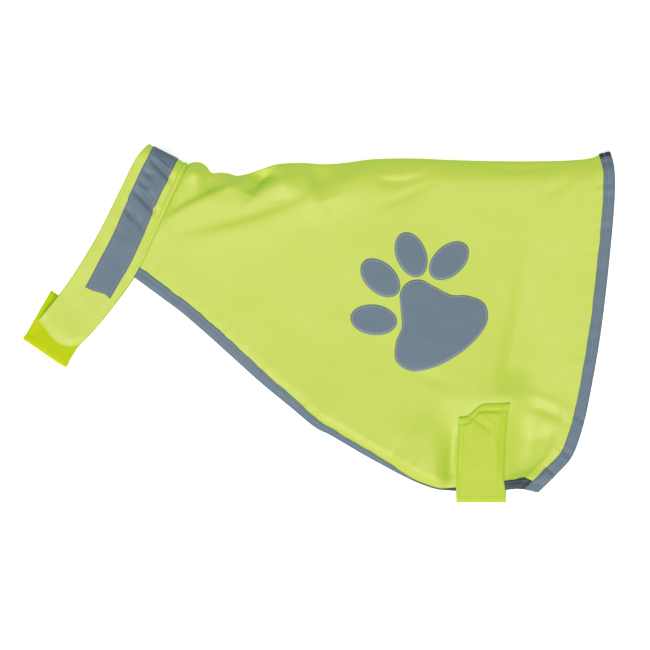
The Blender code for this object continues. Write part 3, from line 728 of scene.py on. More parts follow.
@dataclass
class FoldedPanel:
    """Where the body's cloth lies: a near side over a far side, folded at the spine.

    A place on it is a side, a zone and a value (millimetres from the belly edge, share of the
    stretch between the zones, or degrees round the fold) and a share u from neck to rear.
    """

    seam_gap: float = -0.5       # sewn edges lie on each other; the solids stand apart
    fold_seam_gap: float = -0.3  # the same at the spine's fold
    far_height: float = 0.6      # of the far side's middle surface
    binding_lift: float = 1.0    # how far the tape lifts the far side, and over what distance
    binding_lift_run: float = 13.0
    tape_width: float = 11.0
    edge_zone: float = 27.0  # width of the near and far sides' edge zones
    far_edge_zone: float = 24.0
    roll_arc: float = 8.0       # width of the near edge's arc above its tape
    least_roll: float = 0.002   # radians
    columns_end: float = 0.985  # where the evenly spaced columns end, of the tape's edge
    hem_flat: float = 12.0      # where the roll ends before the rear hem, and its run out
    hem_turn: float = 12.0
    hem_blend: Pair = (0.16, 0.09)  # share that blends to the hem: spine, belly
    far_fold_depth: float = 0.6     # the fold's depth on the far side, of that on the near
    heights: Rows = (               # share from neck to rear, height at the spine, control height
        (0, 20, 18.6), (0.15, 19.2, 14), (0.30, 18.4, 11.5), (0.60, 17.6, 10.5),
        (0.80, 17.2, 10.5), (1, 17, 11.5),
    )
    belly_edge: Rows = (  # share from neck to rear, height of the near edge, angle it turns down
        (0, 16.6, 1), (0.12, 13, 4), (0.30, 9, 12), (0.42, 7.4, 24),
        (0.50, 6.8, 38), (0.66, 6.4, 42), (0.71, 6.3, 56), (0.75, 6.3, 62),
        (0.85, 6.4, 62), (0.94, 6.6, 48), (1, 8, 30),
    )
    hem_heights: Rows = (  # share from spine to belly, height of the near side at the rear hem
        (0, 17), (0.30, 13.5), (0.60, 11.8), (0.85, 10.4), (0.95, 9), (1, 8),
    )
    fold_depth: Rows = (  # share from neck to rear, width of the spine's fold seen from above
        (0, 13), (0.25, 15), (0.6, 22), (1, 24),
    )
    bed_x: float = 155.6                  # middle of the strap's bed in the near side
    bed_top: Pair = (-72.0, 16.2)         # y and height of its upper end
    bed_low: Pair = (-160.0, 8.4)         # y and height of its lower end
    bed_half: float = 26.0                # half its width
    bed_side: float = 18.0                # run of its side slopes at its lower end
    bed_spread: float = 0.12              # how much longer they get for each millimetre up
    bed_fade: float = 34.0                # run of the slope above its upper end
    bed_creases_from: Pair = (4.0, 12.0)  # start and run, from the belly edge
    relief_from_belly: float = 22.0       # distances over which the relief grows from two edges
    relief_from_rear: float = 30.0
    relief_at_rear: float = 0.35      # the share of it that is left at the rear hem
    pinch: float = 1.6                # how far the neck seam draws the cloth down at the spine
    pinch_run: float = 4.5            # and over what distance
    pinch_loss: float = 1.25          # share of the pinch that goes towards the belly
    pinch_loss_at: Pair = (0.3, 0.4)  # share where it starts to go, and run
    pucker: float = 0.32              # height of the small puckers beside the tape
    pucker_run: float = 10.0          # how far they reach
    pucker_length: float = 17.0
    spine_fall: Rows = (  # share from neck to rear, how far the top falls to the spine, its run
        (0, 1.2, 9), (0.03, 3.4, 12), (0.06, 5.2, 15), (0.12, 5.6, 17), (0.18, 4.8, 14),
        (0.24, 5, 16), (0.28, 6.8, 18), (0.36, 7, 18), (0.44, 4.8, 17), (0.52, 3.4, 14),
        (0.70, 2.8, 12), (0.96, 2.4, 11), (1, 5, 5.5),
    )
    edge_creases: tuple[Crease, ...] = creases_of(  # small ones that run out through the hem's tape
        (264, 153, 274, 152.4, 286, 153.4, -1.3, 1.3), (264, 131.4, 274, 130.6, 286, 131.6, -1.1, 1.4),
        (264, 123.6, 274, 124.6, 286, 123.4, -0.7, 1.4), (262, 93, 271, 92, 284, 93, -0.8, 2),
        (255.5, -93.5, 248, -90, 240, -87, -1.7, 1.8, 0.5),
        (242.5, -128.5, 236, -123, 229, -118, -1.7, 1.8, 0.5),
        (227, -145.5, 221, -139.5, 214, -134, -1, 1.8, 0.4),
        (284, 153.5, 275, 151, 266, 150, -0.7, 1.8, 0.3),
        (284, 134, 276, 133, 267, 134, -0.5, 1.8, 0.3), (284, 121, 276, 120, 267, 120, -0.6, 2, 0.3),
    )
    creases: tuple[Crease, ...] = creases_of(  # the main ones fan out from the collar's top
        (-146, 147, -104, 149, -56, 153, -3.4, 20, 0, 15),
        (-46, 146, -105, 131.8, -148, 101.5, -2.8, 2.8, 0, 24),
        (-54, 141, -103, 128.2, -147, 97.5, 1.9, 14, 0, 3.2),
        (4, 131, -56, 101, -134, 86, -1.1, 5, 0, 9), (6, 123, -52, 93, -130, 78, 1.2, 16, 0, 8.5),
        (-67, 141, -54, 143.5, -40, 146, -6, 16, 0, 8), (-66, 122, -58, 138, -37, 143.5, -11, 8, 0, 5),
        (58, 152, 26, 128, -22, 119, 3, 22, 0, 8.5), (-7, 158, 0, 138, 7, 117, -4.2, 15, 0, 7),
        (50, 140, 78, 129, 112, 147, -1.7, 3.4, 0, 6), (58, 112, 88, 122, 112, 138, -1, 5),
        (150, 150, 190, 144, 236, 149, -0.8, 4), (214, 122, 230, 130, 246, 143, -1, 6),
        (92, -45, 122, -57, 150, -70, -1, 6), (181, -75, 212, -75, 241, -96, -1.6, 5, 0.6),
        (186, -105, 208, -117, 239, -96, -1.1, 7), (190, -90, 208, -91, 230, -100, 0.9, 9),
        (60, -112, 90, -104, 124, -96, 0.8, 12), (-60, 20, -20, -8, 30, -20, -0.5, 16),
        (190, 60, 204, 10, 206, -40, -0.6, 13),
    )
    puffs: tuple[Puff, ...] = (
        Puff(-115, 143, 4.2, 8.5), Puff(-104, 133, -2.4, 8),
        Puff(-84, 134, 2.6, 7.5), Puff(-31, 134, 2.6, 11),
        Puff(-150, 92, 0.9, 12), Puff(214, -94, 0.7, 15),
        Puff(200, -122, -0.8, 14), Puff(108, -118, 1.6, 22),
        Puff(20, 60, 0.8, 60),
    )
    bed_creases: tuple[Crease, ...] = creases_of(  # the valleys and ridges round the strap
        (191, -72, 191, -118, 189, -170, -6.6, 19, 0, 14),
        (140, -80, 158, -70, 188, -69, 1.2, 12, 0, 6), (178, -152, 198, -148, 222, -146, 2.6, 9, 0, 5),
        (129, -98, 126.5, -128, 125, -162, -3.2, 4, 0, 6.5),
    )
    swells: Rows = (  # direction in degrees, length, height of the cloth's low swells
        (35, 150, 0.55), (-50, 96, 0.30), (80, 64, 0.14),
    )

    def __post_init__(self) -> None:
        """Works out the outline's curves."""
        self.spine_line, self.front_line, self.rear_line = Spline(SPINE), Spline(FRONT), Spline(REAR)
        self.seam_line = Spline(COLLAR_SEAM_EDGE)
        shares = np.linspace(0.3, 0.7, 400)
        off = np.linalg.norm(self.seam_line(shares) - np.array(FRONT[0]), axis=1)
        self.neck_corner = float(shares[off.argmin()])

    def neck_line(self, q: Array) -> Array:
        """The neck edge at share q from the spine to the front corner: the collar's seam edge."""
        return self.seam_line(1 - (1 - self.neck_corner) * np.asarray(q, float))

    def plan(self, u: Array, q: Array) -> Array:
        """x, y at share u from neck to rear and q from spine to belly, by a Coons patch.

        The patch is the sum of the two blends of opposite edges, less the blend of the corners.
        """
        u, q = together(u, q)
        U, Q = u[..., None], q[..., None]
        corners = (
            (1 - U) * (1 - Q) * self.spine_line(0) + U * (1 - Q) * self.spine_line(1)
            + (1 - U) * Q * self.front_line(0) + U * Q * self.front_line(1)
        )
        across = (1 - Q) * self.spine_line(u) + Q * self.front_line(u)
        return across + (1 - U) * self.neck_line(q) + U * self.rear_line(q) - corners

    def span(self, u: Array) -> Array:
        """Distance from spine to belly edge at share u."""
        return np.linalg.norm(self.front_line(u) - self.spine_line(u), axis=-1)

    @staticmethod
    def lean(edge_step: Array, inward_step: Array) -> Array:
        """Distance along a grid line for each millimetre square to the edge that it meets."""
        least_sine = 0.4
        cross = edge_step[..., 0] * inward_step[..., 1] - edge_step[..., 1] * inward_step[..., 0]
        size = np.linalg.norm(edge_step, axis=-1) * np.linalg.norm(inward_step, axis=-1)
        return size / np.maximum(np.abs(cross), least_sine * size)

    def belly_lean(self, u: Array) -> Array:
        """The lean of the lines that run to the belly edge."""
        u = np.clip(u, ALONG_STEP, 1 - ALONG_STEP)
        step = self.plan(u + ALONG_STEP, 1) - self.plan(u - ALONG_STEP, 1)
        return self.lean(step, self.plan(u, 1) - self.plan(u, 1 - INWARD_STEP))

    def rear_step(self, q: Array) -> Array:
        """The step of the lines that run to the rear hem, over their last INWARD_STEP."""
        return self.plan(1.0, q) - self.plan(1 - INWARD_STEP, q)

    def rear_lean(self, q: Array) -> Array:
        """The lean of the lines that run to the rear hem."""
        q = np.clip(q, ALONG_STEP, 1 - ALONG_STEP)
        step = self.rear_line(q + ALONG_STEP) - self.rear_line(q - ALONG_STEP)
        return self.lean(step, self.rear_step(q))

    def rear_share(self, inset: Array, q: Array) -> Array:
        """Share u of the point that lies an inset inside the rear hem at share q."""
        return 1 - inset * self.rear_lean(q) * INWARD_STEP / np.linalg.norm(self.rear_step(q), axis=-1)

    def from_belly(self, u: Array, down: Array) -> Array:
        """Distance square to the belly edge, of a place at share u and a distance from the spine."""
        return (self.span(u) - down) / self.belly_lean(u)

    def from_rear(self, q: Array, at: Array) -> Array:
        """Distance square to the rear hem, of a place x, y at share q."""
        return np.linalg.norm(self.plan(1.0, q) - at, axis=-1) / self.rear_lean(q)

    def bed_across(self, x: Array, y: Array | float) -> Array:
        """1 over the strap's bed and 0 past its side slopes."""
        side = self.bed_side + self.bed_spread * np.maximum(y - self.bed_low[0], 0)
        return 1 - past(np.abs(x - self.bed_x), self.bed_half, side)

    def bed_height(self, y: Array) -> Array:
        """Height of the near side's middle surface under the strap."""
        slope = (self.bed_top[1] - self.bed_low[1]) / (self.bed_top[0] - self.bed_low[0])
        return self.bed_low[1] + slope * (np.minimum(y, self.bed_top[0]) - self.bed_low[0])

    def roll(self, u: Array, e: Array) -> tuple[Array, Array]:
        """How far inside the outline the cloth lies that is e from the belly edge, and its drop.

        The edge's tape is straight, at the roll's angle; above it the cloth turns on an arc.
        """
        flat = 1 - self.bed_across(self.front_line(u)[..., 0], self.bed_low[0])
        to_rear = (1 - u) * self.front_line.length - self.hem_flat
        angle = np.radians(table_at(self.belly_edge, u, 2)) * flat * ease(to_rear / self.hem_turn)
        angle = np.maximum(angle, self.least_roll)
        turned = angle * np.clip((self.tape_width + self.roll_arc - e) / self.roll_arc, 0, 1)
        on_tape = np.minimum(e, self.tape_width)
        arc = self.roll_arc / angle
        inside = (
            on_tape * np.cos(angle) + arc * (np.sin(angle) - np.sin(turned))
            + np.maximum(e - self.tape_width - self.roll_arc, 0)
        )
        return inside, arc * (1 - np.cos(turned)) + (self.tape_width - on_tape) * np.sin(angle)

    def relief(self, x: Array, y: Array) -> Array:
        """Height of the creases, puffs and low swells."""
        total = summed(self.creases, x, y) + summed(self.puffs, x, y)
        for seed, (degrees, length, height) in enumerate(self.swells):
            turn = math.radians(degrees)
            total = total + height * ripple(x * math.cos(turn) + y * math.sin(turn), length, seed)
        return total

    def near_height(self, u: Array, q: Array, at: Array, drop: Array, down: Array) -> Array:
        """Height of the near side's middle surface.

        A quadratic from spine to belly, eased to the hem's heights at the rear. Creases are
        added, the neck's seam pinches it, it falls to the spine, puckers run beside the tape,
        and the strap presses its bed into it.

        Args:
            u: Share from neck to rear.
            q: Share from spine to belly.
            at: x, y of the place.
            drop: How far the belly edge's roll takes it down.
            down: Distance from the spine, seen from above.

        Returns:
            The height.
        """
        x, y = at[..., 0], at[..., 1]
        top, control = (table_at(self.heights, u, k) for k in (1, 2))
        belly = table_at(self.belly_edge, u) + self.roll(u, 0.0)[1]
        base = (1 - q) ** 2 * top + 2 * q * (1 - q) * control + q**2 * belly - drop
        blend = self.hem_blend[0] + (self.hem_blend[1] - self.hem_blend[0]) * q
        hem = ease((u - 1 + blend) / blend)
        base = base + hem * (table_at(self.hem_heights, q) - base)
        from_belly, from_rear = self.from_belly(u, down), self.from_rear(q, at)
        at_rear = self.relief_at_rear + (1 - self.relief_at_rear) * ease(from_rear / self.relief_from_rear)
        base = base + self.relief(x, y) * ease(from_belly / self.relief_from_belly) * at_rear
        pinch = self.pinch * (1 - self.pinch_loss * past(down / self.span(u), *self.pinch_loss_at))
        base = base - pinch * mound(u * self.spine_line.length / self.pinch_run)
        fall, run = (table_at(self.spine_fall, u, k) for k in (1, 2))
        base = base - fall * mound(down / run) + summed(self.edge_creases, x, y)
        for off, along, seed in (
            (from_belly, u * self.front_line.length, 11), (from_rear, q * self.rear_line.length, 12),
        ):
            fade = mound((off - self.tape_width) / self.pucker_run)
            base = base + self.pucker * ripple(along, self.pucker_length, seed) * fade
        in_bed = self.bed_across(x, y) * (1 - past(y, self.bed_top[0], self.bed_fade))
        base = base * (1 - in_bed) + self.bed_height(y) * in_bed
        return base + summed(self.bed_creases, x, y) * past(from_belly, *self.bed_creases_from)

    def from_spine(self, side: Side, zone: Zone, value: Array, u: Array) -> tuple[Array, Array]:
        """Distance from the spine's outline seen from above, and the drop of the edge's turn."""
        fold = table_at(self.fold_depth, u) * (1 if side is Side.NEAR else self.far_fold_depth)
        if zone is Zone.FOLD:
            return fold * (1 - np.cos(np.radians(value))), 0 * u
        if side is Side.NEAR:
            inside, drop = self.roll(u, value if zone is Zone.EDGE else self.edge_zone)
        else:
            inside, drop = (value if zone is Zone.EDGE else self.far_edge_zone) + 0 * u, 0 * u
        edge = self.span(u) - inside * self.belly_lean(u)
        if zone is Zone.EDGE:
            return edge, drop
        return fold + value * (edge - fold), 0 * u

    def point(self, side: Side, zone: Zone, value: Array, u: Array) -> Array:
        """Places on the cloth's middle surface.

        Args:
            side: Near or far.
            zone: Edge, middle or fold.
            value: The value in that zone.
            u: Share from neck to rear.

        Returns:
            x, y, z on the last axis.
        """
        value, u = together(value, u)
        down, drop = self.from_spine(side, zone, value, u)
        q = down / self.span(u)
        at = self.plan(u, q)
        top = self.near_height(u, q, at, drop, down)
        middle = (top + self.far_height) / 2
        turn = np.sin(np.radians(value)) if zone is Zone.FOLD else 1.0
        if side is Side.NEAR:
            z = middle + (top - middle) * turn
        else:
            inset = np.minimum(self.from_rear(q, at), self.from_belly(u, down))
            lift = 1 - past(inset, self.tape_width, self.binding_lift_run)
            z = middle - (middle - self.far_height) * turn + self.binding_lift * lift * turn
        return np.concatenate([at, z[..., None]], axis=-1)

    def row_share(self, side: Side, zone: Zone, value: Array) -> Array:
        """Share q of rows at the rear hem."""
        one = np.ones_like(np.asarray(value, float))
        return self.from_spine(side, zone, np.asarray(value, float), one)[0] / self.span(one)

    def columns(self, side: Side, zone: Zone, value: Array, count: int) -> Array:
        """Shares u of rows' columns, from the collar's seam to the start of the hem's zone.

        Args:
            side: Near or far.
            zone: The rows' zone.
            value: The rows' values, one a row.
            count: Columns.

        Returns:
            A rows by columns array.
        """
        limit = self.edge_zone if side is Side.NEAR else self.far_edge_zone
        q = np.minimum(self.row_share(side, zone, value), self.row_share(side, Zone.EDGE, limit))
        fold = np.cos(np.radians(value)) if zone is Zone.FOLD else 0 * value
        gap = self.seam_gap + (self.fold_seam_gap - self.seam_gap) * fold
        start = gap / 2 / self.spine_line.length
        last = self.rear_share(self.tape_width + 0.5, q) * self.columns_end
        return start[:, None] + (last - start)[:, None] * np.linspace(0, 1, count)[None, :]

    def near_face(self, at: Array, lift: float) -> Array:
        """Points a lift above the near side's middle surface, straight over x, y.

        The shares u, q of a place are found by Newton's method on the plan, from its middle.

        Args:
            at: x, y on the last axis.
            lift: In millimetres.

        Returns:
            x, y, z on the last axis.
        """
        u, q = np.full(at.shape[:-1], 0.6), np.full(at.shape[:-1], 0.5)
        step, margin, rounds = 0.002, 0.01, 14
        for _ in range(rounds):
            error = self.plan(u, q) - at
            by_u = (self.plan(u + step, q) - self.plan(u - step, q)) / (2 * step)
            by_q = (self.plan(u, q + step) - self.plan(u, q - step)) / (2 * step)
            area = by_u[..., 0] * by_q[..., 1] - by_u[..., 1] * by_q[..., 0]
            u = u - (error[..., 0] * by_q[..., 1] - error[..., 1] * by_q[..., 0]) / area
            q = q - (by_u[..., 0] * error[..., 1] - by_u[..., 1] * error[..., 0]) / area
            u, q = (np.clip(share, margin, 1 - margin) for share in (u, q))
        top = self.near_height(u, q, at, 0 * u, q * self.span(u))
        return np.concatenate([at, (top + lift)[..., None]], axis=-1)


@dataclass
class BodyCloth:
    """The body's one cloth, folded over at the spine."""

    panel: FoldedPanel
    thickness: float = 1.0
    columns: int = 216
    near_middle_rows: int = 100
    near_edge_rows: tuple[float, ...] = (  # distances of rows from the belly edge, in its zone
        1.5, 2.4, 4.0, 6.0, 8.0, 10.0, 11.5, 13.0, 14.5, 16.0, 17.5, 19.0, 21.0, 23.0, 25.0,
    )
    far_edge_rows: tuple[float, ...] = (18.0, 14.5, 11.5, 9.0, 6.0, 4.0, 2.6, 1.5)
    hem_columns: tuple[float, ...] = (11.5, 9.5, 7.5, 5.8, 4.0, 2.6, 1.5)  # from the rear hem
    cut: Pair = (0.47, 0.68)
    cut_area: float = 0.232

    def blocks(self) -> list[tuple[Side, Zone, Array]]:
        """Rows from the near belly edge over the spine to the far belly edge."""
        t = np.arange(1, self.near_middle_rows) / self.near_middle_rows
        return [
            (Side.NEAR, Zone.EDGE, np.array([*self.near_edge_rows, self.panel.edge_zone])),
            (Side.NEAR, Zone.MIDDLE, 1 - t + 0.06 * np.sin(2 * np.pi * t)),
            (Side.NEAR, Zone.FOLD, np.linspace(90, 0, 15)),
            (Side.FAR, Zone.FOLD, np.linspace(7.5, 90, 12)),
            (Side.FAR, Zone.MIDDLE, np.linspace(0.08, 0.92, 12)),
            (Side.FAR, Zone.EDGE, np.array([self.panel.far_edge_zone, *self.far_edge_rows])),
        ]

    def middle_surface(self) -> Array:
        """The whole grid of rows and columns."""
        grid = []
        for side, zone, value in self.blocks():
            q = self.panel.row_share(side, zone, value)
            hem = self.panel.rear_share(np.array(self.hem_columns)[None, :], q[:, None])
            u = np.hstack([self.panel.columns(side, zone, value, self.columns), hem])
            grid.append(self.panel.point(side, zone, value[:, None], u))
        return np.concatenate(grid)

    def build(self, wardrobe: Wardrobe) -> bpy.types.Object:
        """Builds the cloth."""
        obj = cloth_shell("body_cloth", self.middle_surface(), self.thickness, wardrobe[Finish.KNIT],
                          inside=wardrobe[Finish.KNIT_INSIDE])
        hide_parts("body_panel")
        return obj


@dataclass
class FoldedTape:
    """Reflective tape folded over an edge: a U-shaped section carried along it."""

    panel: FoldedPanel
    outside: float = 1.45     # from the cloth's middle to the tape's outer face
    inside: float = 0.8       # and to its inner face
    cut_edge: float = 0.3     # the wall at the tape's cut edge, of that further in
    round_from: float = 0.93  # share of the width where its quarter round starts, and its run
    round_run: float = 0.075
    fold_run: float = 0.13         # share that the fold's quarter round takes up
    inner_fold_from: float = 0.24  # share where it starts on the inner face
    stitch_dip: float = 0.32       # how deep the stitches draw the tape in
    dip_half: float = 0.07         # and half the width of that, as a share
    stitch_share: float = 0.66     # where they run, from the fold to the cut edge
    shade_from_x: float = 118.0     # x from which the belly edge rolls under and its tape gets painted shade
    shade_from_y: float = 158.6    # y from which the hem's tape, turned over the spine, gets the same painted shade
    far_width: float = 10.6        # width of the far front tape, and of the hem's
    hem_width: float = 11.2
    waver: float = 0.06       # how much a front tape's width wavers, as a share of it
    most_waver: float = 0.45  # and at most, in millimetres
    waver_length: float = 21.0
    hem_waver: float = 0.4  # the same for the hem's tape
    hem_waver_length: float = 30.0
    hem_step: float = 2.6  # about how far apart the hem tape's stations are
    overlap: float = 0.7   # from the front tape's end to the hem tape's edge
    section_shares: tuple[float, ...] = (
        1.0, 0.97, 0.9, 0.83, 0.76, 0.7, 0.66, 0.62, 0.55, 0.47, 0.36, 0.25, 0.15, 0.07, 0.02, 0.0,
    )
    widths: Rows = (  # share from neck to rear, width of the near tape that shows
        (0, 11.2), (0.10, 10.6), (0.22, 10.9), (0.40, 10.2), (0.50, 9.4), (0.56, 7.6), (0.62, 8.2),
        (0.68, 6), (0.735, 2.2), (0.80, 2.2), (0.85, 5), (0.92, 9), (1, 9.4),
    )
    cuts: dict[str, Pair] = field(default_factory=lambda: {
        "front_tape_near": (0.021, 0.49), "front_tape_far": (0.023, 0.50), "hem_tape": (0.023, 0.68),
    })

    def section(self) -> tuple[Array, Array, Array]:
        """Shares of the width and the two offsets, from the near inner edge round to the far one.

        The outer run has a quarter-round edge, a dip for the stitches and a round fold.
        """
        share = np.array(self.section_shares)

        def quarter(way: Array) -> Array:
            """A quarter circle's height, 1 up to its start at 0 and 0 from its end at 1."""
            return np.sqrt(np.clip(1 - way.clip(0) ** 2, 0, 1))

        dip = self.stitch_dip * mound((share - self.stitch_share) / self.dip_half)
        edge = self.cut_edge + (1 - self.cut_edge) * quarter((share - self.round_from) / self.round_run)
        wall = self.outside - self.inside
        outer = (self.inside + wall * edge) * quarter((self.fold_run - share) / self.fold_run) - dip
        inner = self.inside * quarter((self.inner_fold_from - share) / self.fold_run)
        both = np.concatenate([share, share[::-1]])
        return both, np.concatenate([outer, -outer[::-1]]), np.concatenate([inner, -inner[::-1]])

    def shell(
        self, name: str, place: Callable[[Array], Array], stations: int, up_at: tuple[int, int],
        finish: Material,
    ) -> tuple[bpy.types.Object, Array, Array]:
        """Builds one folded tape.

        Args:
            name: The piece's name.
            place: Gives the cloth's middle surface at shares of the tape's width, by station.
            stations: Stations along the tape.
            up_at: A section point and station whose normal points up.
            finish: The tape's material.

        Returns:
            The object, and its stitch line's points and normals.
        """
        share, outer, inner = self.section()
        step, least_share = 0.02, 0.11
        middle = place(share)
        into = place(share + step) - place(share - step)
        out = unit(np.cross(np.gradient(middle, axis=1), into))
        if out[up_at][2] < 0:
            out = -out
        inner_face = place(np.maximum(share, least_share)) + out * inner[:, None, None]
        rings = np.concatenate([middle + out * outer[:, None, None], inner_face[::-1]])
        count = len(rings)
        faces = grid_quads(count, stations, around=True)
        half = count // 2
        k = np.arange(half - 1)
        cap = np.stack([k, k + 1, count - 2 - k, count - 1 - k], axis=-1) * stations
        faces = np.concatenate([faces, cap, cap[:, ::-1] + stations - 1])
        across = np.concatenate([share, share[::-1]]) * self.panel.tape_width
        uv = np.stack(np.broadcast_arrays(arc_length(middle[0])[None, :], across[:, None]), axis=-1)
        obj = mesh_piece(name, rings.reshape(-1, 3), faces, uv.reshape(-1, 2), finish)
        at = int(np.abs(np.array(self.section_shares) - self.stitch_share).argmin())
        thread_height = 0.1
        return obj, rings[at] + out[at] * thread_height, out[at]

    def front(self, side: Side, wardrobe: Wardrobe) -> None:
        """The tape of the front and belly edge of one side."""
        panel = self.panel
        base = panel.columns(side, Zone.EDGE, np.array([0.0]), 300)[0]
        rear = panel.row_share(side, Zone.EDGE, panel.tape_width)
        u = np.append(base, panel.rear_share(panel.tape_width + self.overlap, rear))
        along = u * panel.front_line.length
        width = table_at(self.widths, u) if side is Side.NEAR else np.full_like(u, self.far_width)
        most = np.minimum(self.most_waver, width * self.waver)
        width = width + most * ripple(along, self.waver_length, 21)

        def place(share: Array) -> Array:
            """The cloth's middle surface at shares of the tape's width."""
            return panel.point(side, Zone.EDGE, share[:, None] * width[None, :], u[None, :])

        name = "front_tape_" + side.value
        obj, line, up = self.shell(name, place, len(u), (3, 40), wardrobe[Finish.TAPE])
        self.dress("front_binding_" + side.value)
        if side is Side.NEAR:
            # painted shade where the belly edge rolls under; no stitches show there
            rolled = place(np.zeros(1))[0, :, 0] > self.shade_from_x
            self.paint_shade(obj, rolled, wardrobe)
            line, up = line[~rolled], up[~rolled]
            seam_stitches(name + "_stitches", line, up, wardrobe[Finish.SILVER_THREAD])

    def hem(self, wardrobe: Wardrobe) -> None:
        """The tape of the rear hem, from the near belly corner over the spine to the far one."""
        blocks = (
            (Side.NEAR, Zone.EDGE, np.linspace(0, 26, 20)),
            (Side.NEAR, Zone.MIDDLE, np.linspace(0.99, 0.01, 90)),
            (Side.NEAR, Zone.FOLD, np.linspace(90, 0, 15)),
            (Side.FAR, Zone.FOLD, np.linspace(7.5, 90, 12)),
            (Side.FAR, Zone.MIDDLE, np.linspace(0.03, 0.98, 40)),
            (Side.FAR, Zone.EDGE, np.linspace(24, 0, 14)),
        )
        counts = [len(value) for _, _, value in blocks]
        along = np.arange(sum(counts)) * self.hem_step
        width = self.hem_width + self.hem_waver * ripple(along, self.hem_waver_length, 31)
        parts = np.split(width, np.cumsum(counts)[:-1])

        def place(share: Array) -> Array:
            """The cloth's middle surface at shares of the tape's width."""
            made = []
            for (side, zone, value), wide in zip(blocks, parts):
                q = self.panel.row_share(side, zone, value)
                u = self.panel.rear_share(share[:, None] * wide[None, :], q[None, :])
                made.append(self.panel.point(side, zone, value[None, :], u))
            return np.concatenate(made, axis=1)

        obj, line, up = self.shell("hem_tape", place, sum(counts), (3, 30), wardrobe[Finish.TAPE])
        # painted shade on the hem's tape where it turns over the spine
        self.paint_shade(obj, place(np.zeros(1))[0, :, 1] > self.shade_from_y, wardrobe)
        self.dress("hem_binding")
        shown = sum(counts[:4])    # the near side and the whole fold
        seam_stitches("hem_tape_stitches", line[:shown], up[:shown], wardrobe[Finish.SILVER_THREAD])

    @staticmethod
    def paint_shade(obj: bpy.types.Object, turned: Array, wardrobe: Wardrobe) -> None:
        """Paints shade on the stations that lie in shadow, with the tape's darker finish."""
        obj.data.materials.append(wardrobe[Finish.TAPE_PAINTED_SHADE])
        slots = turned[corner_vertices(obj.data)[::4] % len(turned)]
        obj.data.polygons.foreach_set("material_index", slots.astype(np.int32))

    def dress(self, node: str) -> None:
        """Hides the node that a tape stands for."""
        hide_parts(node)

    def build(self, wardrobe: Wardrobe) -> None:
        """Builds the three tapes."""
        self.front(Side.NEAR, wardrobe)
        self.front(Side.FAR, wardrobe)
        FoldedTape(self.panel, stitch_share=0.55).hem(wardrobe)


# -------- collar


BAND_END = 4.9999      # the tail's last station, just short of the next whole number


